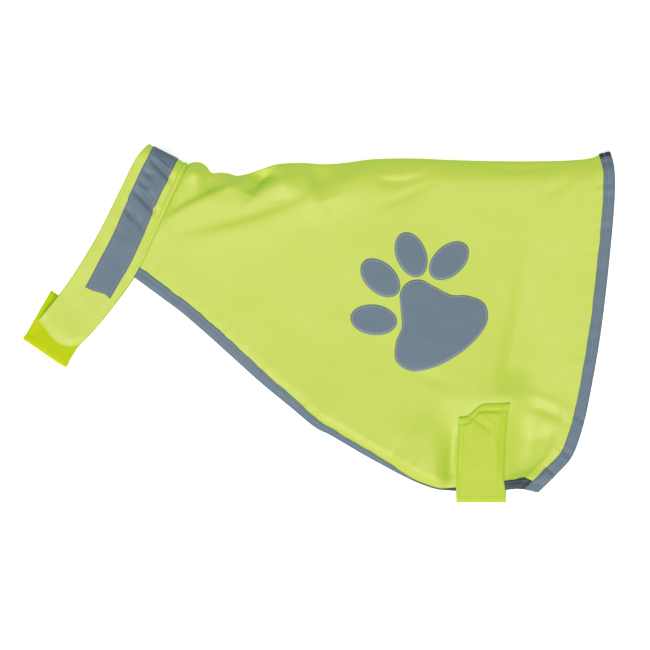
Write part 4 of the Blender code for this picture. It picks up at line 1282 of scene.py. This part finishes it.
@dataclass
class Collar:
    """The double cloth band, its reflective strip and its touch fastener.

    A station t runs from the near end (0) to the nape (1), round the nape (2), along the far
    side (3), round the throat (4) and to the tail's end (5). w is the share across the band,
    from its free edge to its seam.
    """

    panel: FoldedPanel
    thickness: float = 1.9
    width: float = 48.0
    near_start: float = 0.098  # share from throat to nape where the near end lies
    end_height: float = 14.8   # heights of the middle surface: at the near end
    nape_height: float = 20.0  # at the nape
    far_height: float = 1.0    # along the far side
    tail_height: float = 9.6   # and along the tail
    nape_depth: float = 13.0   # reach of the half turns at the nape and the throat
    throat_bulge: float = 4.3
    end_corner: float = 0.014      # share by which the near end's seam-side corner is cut back
    end_corner_from: float = 0.86  # where across the band that starts
    end_corner_fade: float = 0.2   # share along the band over which it runs out
    end_bow: float = 6.8           # how far the near end's edge bows out between its corners
    end_bow_fade: float = 0.3      # station where the bow has run out
    end_drop: float = 2.2          # how far the near end's edge comes down, and over what distance
    end_drop_run: float = 5.0
    leg_length: float = 180.0      # about how many millimetres the near side's station spans
    station_length: float = 190.0  # and a station on the whole, for the swells
    stand: float = 1.6             # how far the free edge stands up on the near side
    stand_run: float = 10.0        # and over what distance it comes down
    swell: float = 0.25            # height of the band's low swells
    swell_length: float = 55.0
    swell_slant: float = 20.0     # how much they lag across the band
    loops_from: float = 3.35      # station from which the loop cloth shows
    strip_turn_end: float = 1.78  # station where the strip ends, under the nape
    strip_lift: float = 1.25
    strip_thickness: float = 0.5
    pad_thickness: float = 1.0
    pad_along: Pair = (0.125, 0.215)  # shares from throat to nape that they cover
    pad_across: Pair = (0.2, 0.8)
    free_hem: tuple[Ridge, ...] = (Ridge(0.25, 2.2, 1.8), Ridge(-0.12, 5.2, 1.4))
    open_hem: Ridge = Ridge(0.28, 2.0, 1.4)
    open_edge_fall: Pair = (0.9, 8.5)               # of the seam side where it isn't sewn
    tail_hem: Ridge = Ridge(1.2, 0.08, 0.07)        # in shares across the band
    tail_free_side: Ridge = Ridge(-2.4, 0.0, 11.0)  # how its two sides round down
    tail_seam_side: Ridge = Ridge(-0.8, 0.0, 12.0)
    seam_ditch: Ridge = Ridge(-0.8, 0.0, 0.9)    # where the band meets the body
    seam_groove: Ridge = Ridge(-1.15, 0.0, 1.0)  # the groove inside it, from its own place
    seam_roll: Ridge = Ridge(0.7, 0.0, 1.3)      # the roll half way between the two
    groove_in: float = 3.4                       # distance of that groove from the seam's edge
    groove_growth: float = 1.4                   # and how much further in it goes
    seam_least: float = 0.15                     # share of the rolled seam at the corner
    seam_growth: float = 0.75                    # and the share that it grows by
    # Pairs: where it starts and its run, in stations, of which some count from the front corner.
    near_fades: Pair = (1.0, 0.5)
    floor_starts: Pair = (1.7, 0.3)
    floor_ends: Pair = (3.0, 0.3)
    sewn_starts: Pair = (-0.03, 0.05)  # from the corner
    sewn_ends: Pair = (1.95, 0.1)
    groove_grows: Pair = (0.0, 0.45)  # from the corner
    seam_grows: Pair = (0.18, 0.35)   # from the corner
    stand_starts: Pair = (0.1, 0.3)
    tail_starts: Pair = (4.1, 0.2)
    sides_start: Pair = (3.6, 0.4)
    sides_end: Pair = (4.0, 0.6)
    strip_left: Rows = (  # station, share across: the strip's free-side edge
        (0.279, 0.332), (0.437, 0.270), (0.604, 0.256), (0.742, 0.228), (0.762, 0.232),
        (0.787, 0.210), (0.881, 0.210), (0.973, 0.202), (1.20, 0.15), (1.353, 0.128), (2, 0.12),
    )
    strip_right: Rows = (  # station, share across: the strip's seam-side edge
        (0.295, 0.866), (0.404, 0.824), (0.523, 0.814), (0.682, 0.800), (0.774, 0.782),
        (0.790, 0.745), (0.813, 0.774), (0.905, 0.770), (0.952, 0.786), (0.970, 0.762),
        (0.99, 0.776), (1.29, 0.758), (2, 0.75),
    )
    strip_start: Rows = (  # share across the strip, station of its cut end
        (0, 0.279), (0.3, 0.284), (0.65, 0.298), (0.78, 0.303), (1, 0.295),
    )
    creases: tuple[Crease, ...] = creases_of(
        (-160, 156.5, -149, 148, -139, 134.5, -3.2, 3.6, 0.4, 2.2),
        (-176, 127.5, -163, 117, -154.5, 104, -3.2, 3.8, 0.35, 2.4),
        (-153, 160, -146, 155, -139, 147, -2, 2.4), (-166, 146, -161, 142, -156, 139, -1.8, 2.2),
        (-170, 137, -165, 131, -160, 128, -1.7, 2.4), (-164, 128, -157, 122, -152, 113, -1.4, 2),
        (-184, 110.5, -178, 106, -174, 98, -1.8, 2.6), (-172.5, 101, -167, 95, -165, 85, -1.5, 3),
        (-196, 96, -188, 88, -184, 78, -0.6, 3), (-168, 136, -160, 128, -150, 124, 0.8, 6),
        (-188, 84, -180, 76, -176, 68, 0.5, 6), (-230, 24, -222, 8, -214, -4, -0.5, 9),
    )
    tail_creases: tuple[Crease, ...] = creases_of(
        (-238, 46, -251, 23, -266, -1, -2.6, 16, 0, 3.6),
    )

    def __post_init__(self) -> None:
        """Works out the edges' curves."""
        self.free, self.seam = Spline(COLLAR_FREE_EDGE), Spline(COLLAR_SEAM_EDGE)
        self.nape = 1 - self.nape_depth / self.seam.length
        self.far_end = self.throat_bulge / self.free.length

    def across(self, p: Array, w: Array) -> Array:
        """x, y at share p from throat to nape and share w from the free edge to the seam."""
        return self.free(p) + w[..., None] * (self.seam(p) - self.free(p))

    def height(self, p: Array) -> Array:
        """Height of the near side at share p."""
        rise = (p - self.near_start) / (1 - self.near_start)
        return self.end_height + (self.nape_height - self.end_height) * rise

    def middle(self, t: Array, w: Array) -> Array:
        """The band's middle surface: straight legs joined by half turns at the nape and throat."""
        t, w = together(t, w)
        leg = np.clip(np.floor(t), 0, 4).astype(int)
        s = t - leg
        turn = np.pi * s
        near_p = self.near_start + (self.nape - self.near_start) * s
        corner = past(w, self.end_corner_from, 1 - self.end_corner_from) ** 1.5
        corner_fade = np.clip(1 - (near_p - self.near_start) / self.end_corner_fade, 0, 1)
        centre = (self.height(self.nape) + self.far_height) / 2
        tail_centre = (self.tail_height + self.far_height) / 2
        p = np.choose(leg, [
            near_p + self.end_corner * corner * corner_fade, self.nape + (1 - self.nape) * np.sin(turn),
            self.nape + (self.far_end - self.nape) * s, self.far_end * (1 - np.sin(turn)),
            np.full_like(s, self.far_end),
        ])
        z = np.choose(leg, [
            self.height(near_p), centre + (centre - self.far_height) * np.cos(turn),
            np.full_like(s, self.far_height),
            tail_centre - (tail_centre - self.far_height) * np.cos(turn), np.full_like(s, self.tail_height),
        ])
        at = self.across(p, w)
        corners = np.array(TAIL_END)
        end = corners[0] + w[..., None] * (corners[1] - corners[0])
        at = np.where((leg == 4)[..., None], at + s[..., None] * (end - at), at)
        away = unit(self.free(p) - self.seam(p))
        turned = np.where(leg == 1, np.sin(turn), 0.0)
        gap = self.panel.seam_gap + (self.panel.fold_seam_gap - self.panel.seam_gap) * turned
        at = at + away * (gap / 2 * w)[..., None]
        return np.concatenate([at, z[..., None]], axis=-1)

    def relief(self, t: Array, w: Array, at: Array) -> Array:
        """How far the band's form stands off its middle surface.

        Both long edges have a turned hem. Beside the body a rolled seam runs between two
        grooves, and fades out to the front corner. The near side carries the creases, its end
        comes down to the tail and its free edge stands up. The throat's turn and the tail
        round down at their sides, and the tail has one fold.

        Args:
            t: Station along the band.
            w: Share across it.
            at: The middle surface there.

        Returns:
            The height along the surface's normal.
        """
        from_free, from_seam = w * self.width, (1 - w) * self.width
        corner = (self.panel.neck_corner - self.near_start) / (self.nape - self.near_start)
        from_corner = t - corner
        near = 1 - past(t, *self.near_fades)                                   # 1 up to the nape
        on_floor = past(t, *self.floor_starts) * (1 - past(t, *self.floor_ends))    # 1 on the far side
        sewn = past(from_corner, *self.sewn_starts) * (1 - past(t, *self.sewn_ends))  # 1 by the body
        fall, fall_run = self.open_edge_fall
        unsewn = self.open_hem.height(from_seam) - fall * ease((fall_run - from_seam) / fall_run)
        groove_at = self.groove_in + self.groove_growth * past(from_corner, *self.groove_grows)
        rolled = (
            self.seam_groove.height(from_seam - groove_at)
            + self.seam_roll.height(from_seam - groove_at / 2)
            + self.seam_ditch.height(from_seam)
        ) * (self.seam_least + self.seam_growth * past(from_corner, *self.seam_grows))
        hems = (summed(self.free_hem, from_free) + sewn * rolled + (1 - sewn) * unsewn) * (1 - on_floor)
        slanted = t * self.station_length + w * self.swell_slant
        swell = self.swell * ripple(slanted, self.swell_length, 41)
        stand = self.stand * mound(from_free / self.stand_run) * past(t, *self.stand_starts)
        end_drop = self.end_drop * mound(t * self.leg_length / self.end_drop_run)
        creased = summed(self.creases, at[..., 0], at[..., 1]) + swell + stand - end_drop
        folded = summed(self.tail_creases, at[..., 0], at[..., 1]) + self.tail_hem.height(w)
        sides = self.tail_free_side.height(from_free) + self.tail_seam_side.height(from_seam)
        by_throat = past(t, *self.sides_start) * (1 - past(t, *self.sides_end))
        return hems + near * creased + (past(t, *self.tail_starts) * folded + by_throat * sides)

    def surface(self, t: Array, w: Array, lift: float = 0.0) -> Array:
        """The band's middle surface with its relief, raised by a lift along its normals."""
        t, w = together(t, w)
        at = self.middle(t, w)
        before, after = (np.clip(t + step, 0, BAND_END) for step in (-0.004, 0.004))
        by_t = self.middle(after, w) - self.middle(before, w)
        by_w = self.middle(t, w + 0.01) - self.middle(t, w - 0.01)
        out = unit(np.cross(by_w, by_t))
        return at + out * (self.relief(t, w, at) + lift)[..., None]

    def band(self, wardrobe: Wardrobe) -> None:
        """The band itself, and the stitches along its hems."""
        t = joined((0, 1, 90), (1, 2, 26), (2, 3, 30), (3, 4, 18), (4, BAND_END, 16))
        w = finer_at_ends(44)
        rows, columns = t[:, None], w[None, :]
        outwards = unit(self.middle(rows, columns) - self.middle(rows + 0.01, columns))
        bow = self.end_bow * np.sin(np.pi * columns**1.4) * (1 - ease(rows / self.end_bow_fade))
        grid = self.surface(rows, columns) + outwards * bow[..., None]
        obj = cloth_shell("collar_cloth", grid, self.thickness, wardrobe[Finish.KNIT], rim=0.45,
                          inside=wardrobe[Finish.KNIT_INSIDE])
        obj.data.materials.append(wardrobe[Finish.LOOP_KNIT])
        slots = np.empty(len(obj.data.polygons), np.int32)
        obj.data.polygons.foreach_get("material_index", slots)
        station = t[corner_vertices(obj.data)[::4] % (len(t) * len(w)) // len(w)]
        slots[station >= self.loops_from] = 2
        obj.data.polygons.foreach_set("material_index", slots)
        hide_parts("collar_band")
        for name, share, start, stop in (
            ("collar_free_stitches", 0.095, 0.02, 1.9), ("collar_open_stitches", 0.92, 0.02, 0.38),
        ):
            path = np.linspace(start, stop, 160)
            line = self.surface(path, np.full_like(path, share), self.thickness / 2)
            up = line - self.surface(path, np.full_like(path, share), 0.0)
            seam_stitches(name, line, unit(up), wardrobe[Finish.LIME_THREAD], radius=0.2)

    def strip_place(self, a: Array, b: Array, lift: float) -> Array:
        """A place on the strip at share a along it and b across it."""
        a, b = together(a, b)
        start = table_at(self.strip_start, b)
        t = start + a * (self.strip_turn_end - start)
        left, right = table_at(self.strip_left, t), table_at(self.strip_right, t)
        return self.surface(t, left + b * (right - left), lift)

    def strip(self, wardrobe: Wardrobe) -> None:
        """The reflective strip on the band's outer face, and its stitches."""
        a, b = np.linspace(0, 1, 150), np.linspace(0, 1, 26)
        grid = self.strip_place(a[:, None], b[None, :], self.strip_lift)
        obj = cloth_shell("collar_tape", grid, self.strip_thickness, wardrobe[Finish.TAPE])
        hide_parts("collar_strip")
        top = self.strip_lift + self.strip_thickness / 2
        end_inset, side_inset = 0.018, 0.1
        long_path, cross_path = np.linspace(end_inset, 1, 200), np.linspace(side_inset, 1 - side_inset, 30)
        runs = {
            "strip_free_stitches": (long_path, np.full_like(long_path, side_inset)),
            "strip_seam_stitches": (long_path, np.full_like(long_path, 1 - side_inset)),
            "strip_end_stitches": (np.full_like(cross_path, end_inset), cross_path),
        }
        for name, (along, across) in runs.items():
            line = self.strip_place(along, across, top)
            up = unit(line - self.strip_place(along, across, 0.0))
            seam_stitches(name, line, up, wardrobe[Finish.SILVER_THREAD], radius=0.24)

    def fastener(self, wardrobe: Wardrobe) -> None:
        """The loop pad on the tail and the hook pad under the near end."""
        t = (np.linspace(*self.pad_along, 24) - self.near_start) / (self.nape - self.near_start)
        w = np.linspace(*self.pad_across, 24)
        at = self.middle(t[:, None], w[None, :])
        for name, node, z in (("collar_loops", "collar_loop", 11.4), ("collar_hooks", "collar_hook", 12.7)):
            grid = at.copy()
            grid[..., 2] = z
            obj = cloth_shell(name, grid, self.pad_thickness, wardrobe[Finish.FASTENER], rim=0.6)
            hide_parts(node)

    def build(self, wardrobe: Wardrobe) -> None:
        """Builds the collar."""
        self.band(wardrobe)
        self.strip(wardrobe)
        self.fastener(wardrobe)


# -------- belly strap


@dataclass
class BellyStrap:
    """The double cloth strap from inside the far side, round the belly edges, to the near side."""

    panel: FoldedPanel
    thickness: float = 0.8
    edges: Rows = (  # distance down from the strap's top in mm, left edge x, right edge x
        (0, 134.4, 182), (13, 133.6, 179.6), (35, 132.4, 177.6), (72, 131.1, 176.2),
        (86, 130.9, 178.2), (98, 131.4, 179), (150, 132.1, 179.1),
    )
    top_edge: Rows = (  # share across, y of the strap's top end, whose left corner is turned in
        (0, -89), (0.17, -88), (0.27, -84), (0.38, -78.2), (0.48, -75.6), (1, -75.2),
    )
    length: float = 152.0  # from its top on the near side to its inner end
    width: float = 46.0
    top_y: float = -75.2
    edge_y: float = -160.0          # the belly edge that it goes round
    turn_y: float = -170.0          # its lowest place in the picture
    turn_reach: float = 5.0         # how far its round turn stands out
    inner_end: float = -118.0       # y of its inner end
    over_pads: float = 4.0          # heights over the body's bed: on the fastener's pads
    over_tape: float = 2.9          # and by the belly edge
    over_tape_from: float = -128.0  # y where it starts to come down, and over what distance
    over_tape_run: float = 18.0
    inner_height: float = 2.5             # heights on the far side: at the inner end
    inner_over_tape: float = 4.5          # and over the far front tape
    side_drop: Pair = (2.2, 2.8)          # how far its left and right side come down
    side_drop_half: float = 4.2           # half the width of each side's fall
    side_drop_across: Pair = (0.3, 0.5)   # share where left turns to right, and run
    side_drop_until: Pair = (58.0, 16.0)  # how far down that lasts, and its run
    end_drop: Pair = (0.5, 9.0)           # where the top end's own fall is, and run
    shown_until: Pair = (96.0, 10.0)      # how far down the near side's relief goes
    swell: float = 0.15                   # height of the low swells
    swell_length: float = 37.0
    swell_slant: float = 20.0  # how much they lag across the strap
    side_hem: tuple[Ridge, ...] = (Ridge(0.3, 2.2, 1.3), Ridge(-0.32, 4.4, 0.9))
    top_hem: tuple[Ridge, ...] = (Ridge(0.5, 2.6, 2.0), Ridge(-0.6, 6.4, 1.5))
    turn_ridge: Ridge = Ridge(0.35, 91.0, 1.3)  # where it bends to go round the edge
    pad_x: Pair = (141.0, 172.4)
    pad_y: Pair = (-119.5, -93.0)
    pad_thickness: float = 0.7
    creases: tuple[Crease, ...] = creases_of(
        (142, -85.5, 154, -92, 166, -103, -1.5, 2.6, 0.3), (150, -83, 163, -82, 178, -84, -1.2, 1.8),
        (165, -95, 168, -112, 169, -130, 0.5, 2.2, 0.4), (138, -104, 148, -118, 150, -140, -0.4, 6),
        (134, -140, 150, -143, 174, -138, 0.4, 7),
    )

    def profile(self, down: Array) -> Array:
        """y, z along the strap's middle: over the near side, round the edges, along the far side.

        Args:
            down: Distance along the strap in millimetres, from its top end.

        Returns:
            y, z on the last axis.
        """
        y_near = np.linspace(self.top_y, self.edge_y, 40)
        lower = ease((self.over_tape_from - y_near) / self.over_tape_run)
        over = self.over_pads + (self.over_tape - self.over_pads) * lower
        near = np.stack([y_near, self.panel.bed_height(y_near) + over], axis=-1)
        top_z, low_z = near[-1, 1] - 0.5, self.inner_height - 0.2
        turn = np.linspace(0, np.pi, 24)
        bend = np.stack([
            self.turn_y + self.thickness / 2 + self.turn_reach * (1 - np.sin(turn)),
            (top_z + low_z) / 2 + (top_z - low_z) / 2 * np.cos(turn),
        ], axis=-1)
        on_tape, at_end = self.inner_over_tape, self.inner_height
        far = np.array([
            (-161.8, on_tape - 0.4), (-160.4, on_tape), (-147.0, on_tape), (-140.0, on_tape - 0.8),
            (-131.0, at_end), (self.inner_end, at_end),
        ])
        line = np.concatenate([near, bend, far])
        return read_line(line, arc_length(line), down)

    def surface(self, s: Array, b: Array, lift: float = 0.0) -> Array:
        """A place at share s down the strap and b across it, raised by a lift.

        The hem along each side and the top end is a low ridge with a groove inside it. The
        sides and the top end come down to the body, past the pads beneath.
        """
        s, b = together(s, b)
        cut = self.top_y - table_at(self.top_edge, b)
        down = cut + s * (self.length - cut)

        def bare(down: Array, b: Array) -> Array:
            """The middle surface without its relief."""
            left, right = table_at(self.edges, down, 1), table_at(self.edges, down, 2)
            at = self.profile(down)
            return np.stack([left + b * (right - left), at[..., 0], at[..., 1]], axis=-1)

        at = bare(down, b)
        step_down, step_across = 0.8, 0.01
        by_b = bare(down, b + step_across) - bare(down, b - step_across)
        out = unit(np.cross(by_b, bare(down + step_down, b) - bare(down - step_down, b)))
        out = np.where(out[:1, :1, 2:] < 0, -out, out)
        side, end = np.minimum(b, 1 - b) * self.width, down - cut
        level = (1 - mound(side / self.side_drop_half)) * past(end, *self.end_drop)
        left_drop, right_drop = self.side_drop
        drop = left_drop + (right_drop - left_drop) * past(b, *self.side_drop_across)
        lower = 1 - past(down, *self.side_drop_until)
        relief = summed(self.side_hem, side) - drop * (1 - level) * lower
        swell = self.swell * ripple(down + self.swell_slant * b, self.swell_length, 51)
        relief = relief + (1 - past(down, *self.shown_until)) * (
            summed(self.top_hem, end) + summed(self.creases, at[..., 0], at[..., 1])
            + self.turn_ridge.height(down) + swell
        )
        return at + out * (relief + lift)[..., None]

    def build(self, wardrobe: Wardrobe) -> None:
        """Builds the strap, its stitches and its fastener."""
        s, b = joined((0, 0.55, 90), (0.55, 0.8, 50), (0.8, 1, 14)), finer_at_ends(40)
        grid = self.surface(s[:, None], b[None, :])
        # the strap's knit is darker than the body's: painted shade
        obj = cloth_shell("strap_cloth", grid, self.thickness, wardrobe[Finish.STRAP_KNIT_PAINTED_SHADE], rim=0.45)
        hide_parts("belly_strap")
        path = np.linspace(0.04, 0.56, 120)[:, None]
        for name, share in (("strap_left_stitches", 0.09), ("strap_right_stitches", 0.91)):
            across = np.full_like(path, share)
            line = self.surface(path, across, self.thickness / 2)[:, 0]
            up = unit(line - self.surface(path, across)[:, 0])
            seam_stitches(name, line, up, wardrobe[Finish.LIME_THREAD], radius=0.2)
        x, y = np.linspace(*self.pad_x, 24), np.linspace(*self.pad_y, 22)
        for name, node, lift in (("strap_loops", "belly_loop", 1.1), ("strap_hooks", "belly_hook", 2.0)):
            height = self.panel.bed_height(y) + lift
            grid = np.stack(np.broadcast_arrays(x[None, :], y[:, None], height[:, None]), axis=-1)
            pad = cloth_shell(name, grid, self.pad_thickness, wardrobe[Finish.FASTENER], rim=0.6)
            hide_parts(node)


# -------- paw


@dataclass(frozen=True)
class Toe:
    """An oval patch of the paw: its number, middle across and along the paw's axis, and tilt."""

    number: int
    across: float
    along: float
    tilt: float


@dataclass
class PawApplique:
    """A generic paw of reflective tape: a pad and four toes, each sewn round with a zigzag."""

    panel: FoldedPanel
    centre: Pair = (115.0, -1.0)
    turn: float = 37.0  # degrees that its axis leans to the neck
    lift: float = 1.1
    thickness: float = 0.55
    pad: Rows = (  # across, along the axis: one half, from the tip to the heel
        (0, 43.5), (11, 39.5), (18.5, 27.5), (27.5, 11.5), (41, 1.5), (50, -13),
        (44, -28), (25, -37), (0, -40),
    )
    pad_at: Pair = (-3.0, 7.0)  # the pad's own middle, across and along
    pad_core: float = -6.0      # where bearings round the pad are taken from
    pad_lean: float = 3.8       # degrees that the pad leans back from the axis
    toes: tuple[Toe, ...] = (
        Toe(1, -46.8, 41.5, 46.0), Toe(2, -17.8, 69.6, 10.0), Toe(3, 18.8, 69.5, -15.0),
        Toe(4, 44.1, 43.3, -84.0),
    )
    toe_half: Pair = (14.3, 22.2)   # a toe's half width and half length
    pad_cut: Pair = (0.096, 0.084)  # sizes of the pieces cut, in metres
    toe_cut: Pair = (0.0292, 0.0452)
    oval_share: float = 0.79  # of its box that an oval fills
    pad_grid: int = 56
    toe_grid: int = 34
    pillow_rise: float = 0.12  # how far a patch rises inside its edge
    pillow_run: float = 4.0
    stitch_groove: Ridge = Ridge(-0.3, 1.0, 0.8)  # the groove under its zigzag
    stitch_pitch: float = 1.5
    stitch_width: float = 1.7
    stitch_inset: float = 1.5
    stitch_height: float = 0.3  # of the thread over the tape's middle
    thread_radius: float = 0.21

    def on_paw(self, across: Array, along: Array) -> Array:
        """x, y of a place given across and along the paw's axis."""
        turn = math.radians(self.turn)
        x = self.centre[0] + across * math.cos(turn) - along * math.sin(turn)
        y = self.centre[1] + across * math.sin(turn) + along * math.cos(turn)
        return np.stack([x, y], axis=-1)

    @staticmethod
    def disc(count: int) -> tuple[Array, Array]:
        """A square grid bent into a disc: radius and angle. x is u sqrt(1 - v^2/2), y alike."""
        u, v = np.meshgrid(np.linspace(-1, 1, count), np.linspace(-1, 1, count))
        x, y = u * np.sqrt(1 - v**2 / 2), v * np.sqrt(1 - u**2 / 2)
        return np.hypot(x, y), np.arctan2(y, x)

    def middle(self, toe: Toe | None) -> Array:
        """A patch's middle, across and along: the toe's, or the pad's where there is none."""
        if toe is not None:
            return np.array([toe.across, toe.along])
        return np.array([self.pad_at[0], self.pad_at[1] + self.pad_core])

    def outline(self, toe: Toe | None, angle: Array, inset: Array | float) -> Array:
        """A place on a patch's outline, moved inwards by an inset.

        A toe is an ellipse. The pad is a smooth closed curve through its half and the mirror
        of it, read by the angle round a point on its axis.

        Args:
            toe: The toe, or None for the pad.
            angle: Angle round the patch's middle.
            inset: Millimetres inwards.

        Returns:
            Across, along on the last axis.
        """
        if toe is not None:
            tilt = math.radians(toe.tilt)
            a = (self.toe_half[0] - inset) * np.cos(angle)
            b = (self.toe_half[1] - inset) * np.sin(angle)
            across = toe.across + a * math.cos(tilt) - b * math.sin(tilt)
            return np.stack([across, toe.along + a * math.sin(tilt) + b * math.cos(tilt)], axis=-1)
        half = list(self.pad)
        ring = half + [(-x, y) for x, y in half[-2:0:-1]]
        line = Spline(tuple(ring[-3:] + ring + ring[:4]))(np.linspace(0, 1, 1400))
        line = line - np.array([0.0, self.pad_core])
        bearing = np.arctan2(line[:, 1], line[:, 0])
        order = np.argsort(bearing)
        reach = np.hypot(line[:, 0], line[:, 1])[order]
        far = np.interp(angle, bearing[order], reach, period=2 * np.pi) - inset
        right, up = self.pad_at
        angle = angle - math.radians(self.pad_lean)
        return np.stack([right + far * np.cos(angle), up + far * np.sin(angle) + self.pad_core], axis=-1)

    def patch(self, name: str, node: str, toe: Toe | None, wardrobe: Wardrobe) -> None:
        """One patch of tape, its edge pressed down by the stitches, and the zigzag round it."""
        radius, angle = self.disc(self.pad_grid if toe is None else self.toe_grid)
        centre = self.middle(toe)
        reach = self.outline(toe, angle, 0.0) - centre
        flat = centre + reach * radius[..., None]
        inset = np.linalg.norm(reach, axis=-1) * (1 - radius)
        grid = self.panel.near_face(self.on_paw(flat[..., 0], flat[..., 1]), self.lift)
        pillow = self.pillow_rise * ease(inset / self.pillow_run)
        grid[..., 2] += pillow + self.stitch_groove.height(inset)
        obj = cloth_shell(name, grid, self.thickness, wardrobe[Finish.TAPE])
        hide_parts(node)
        self.zigzag(name + "_zigzag", toe, wardrobe)

    def zigzag(self, name: str, toe: Toe | None, wardrobe: Wardrobe) -> None:
        """The zigzag round a patch: an even number of stitches that swing across one line."""
        turn = np.linspace(0, 2 * np.pi, 900)
        along = arc_length(self.outline(toe, turn, self.stitch_inset))
        count = int(along[-1] / self.stitch_pitch) // 2 * 2
        turn = np.interp(np.linspace(0, along[-1], count + 1), along, turn)
        swing = self.stitch_inset + self.stitch_width * (np.arange(count + 1) % 2 - 0.5)
        spots = self.outline(toe, turn, swing)
        spots = self.on_paw(spots[..., 0], spots[..., 1])
        spots = self.panel.near_face(spots, self.lift + self.stitch_height)
        up = np.broadcast_to(np.array([0.0, 0.0, 1.0]), spots[1:].shape)
        thread = wardrobe[Finish.ZIGZAG_THREAD]
        thread_piece(name, spots[:-1], spots[1:], up, self.thread_radius, thread)

    def build(self, wardrobe: Wardrobe) -> None:
        """Builds the pad and the toes."""
        self.patch("paw_pad_tape", "paw_pad", None, wardrobe)
        for toe in self.toes:
            self.patch(f"paw_toe_tape_{toe.number}", f"paw_toe_{toe.number}", toe, wardrobe)


# -------- studio


@dataclass
class Studio:
    """A white floor, a soft key light and a camera straight above."""

    aim: Pair = (0.0064, -0.0009)
    camera_height: float = 3.0
    frame_width: float = 0.6175
    garment_height: float = 0.014
    sensor_mm: float = 36.0
    key_strength: float = 2.80     # with the fill, lights a level white surface to just past white
    key_spread: float = 24.0       # degrees that the softbox takes up, seen from the vest
    key_tilt: Pair = (-6.0, 27.0)  # degrees towards the neck, and the belly
    fill: float = 0.34
    floor_glow: float = 0.65  # keeps the floor white where the vest shades it
    floor_colour: str = "#FCFCFC"
    floor_half: float = 12.0
    floor_height: float = -0.0003  # just under the lowest cloth

    def camera(self) -> None:
        """The camera: straight down, far off, so that the vest is seen with little perspective."""
        data = bpy.data.cameras.new("camera")
        data.sensor_width = self.sensor_mm
        data.lens = self.sensor_mm * (self.camera_height - self.garment_height) / self.frame_width
        data.clip_end = 20.0
        camera = bpy.data.objects.new("camera", data)
        camera.location = (*self.aim, self.camera_height)
        bpy.context.scene.collection.objects.link(camera)
        bpy.context.scene.camera = camera

    def floor(self) -> None:
        """A large white floor under the vest."""
        half = self.floor_half
        mesh = bpy.data.meshes.new("floor")
        corners = [(-half, -half), (half, -half), (half, half), (-half, half)]
        mesh.from_pydata([(x, y, self.floor_height) for x, y in corners], [], [(0, 1, 2, 3)])
        mesh.materials.append(Swatch("studio_floor", {
            "Base Color": linear(self.floor_colour), "Roughness": 0.9, "Specular IOR Level": 0.0,
            "Emission Color": linear("#FFFFFF"), "Emission Strength": self.floor_glow,
        }).material)
        obj = bpy.data.objects.new("floor", mesh)
        bpy.context.scene.collection.objects.link(obj)
        obj.visible_glossy = False     # it puts no sheen on the steep folds

    def lights(self) -> None:
        """One broad soft key from the belly's side, and an even white fill."""
        data = bpy.data.lights.new("softbox", "SUN")
        data.energy, data.angle = self.key_strength, math.radians(self.key_spread)
        key = bpy.data.objects.new("softbox", data)
        key.rotation_euler = (math.radians(self.key_tilt[1]), math.radians(self.key_tilt[0]), 0.0)
        bpy.context.scene.collection.objects.link(key)
        world = bpy.data.worlds.new("studio")
        world.use_nodes = True
        sky = world.node_tree.nodes["Background"]
        sky.inputs["Color"].default_value = linear("#FFFFFF")
        sky.inputs["Strength"].default_value = self.fill
        bpy.context.scene.world = world
        bpy.context.scene.view_settings.view_transform = "Standard"

    def build(self) -> None:
        """Sets up the studio."""
        self.floor()
        self.lights()
        self.camera()


def main() -> None:
    """Builds the vest round its frame."""
    logging.basicConfig(level=logging.INFO, format="%(name)s: %(message)s")
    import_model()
    wardrobe = Wardrobe()
    panel = FoldedPanel()
    BodyCloth(panel).build(wardrobe)
    FoldedTape(panel).build(wardrobe)
    Collar(panel).build(wardrobe)
    BellyStrap(panel).build(wardrobe)
    PawApplique(panel).build(wardrobe)
    Studio().build()


if __name__ == "__main__":
    main()
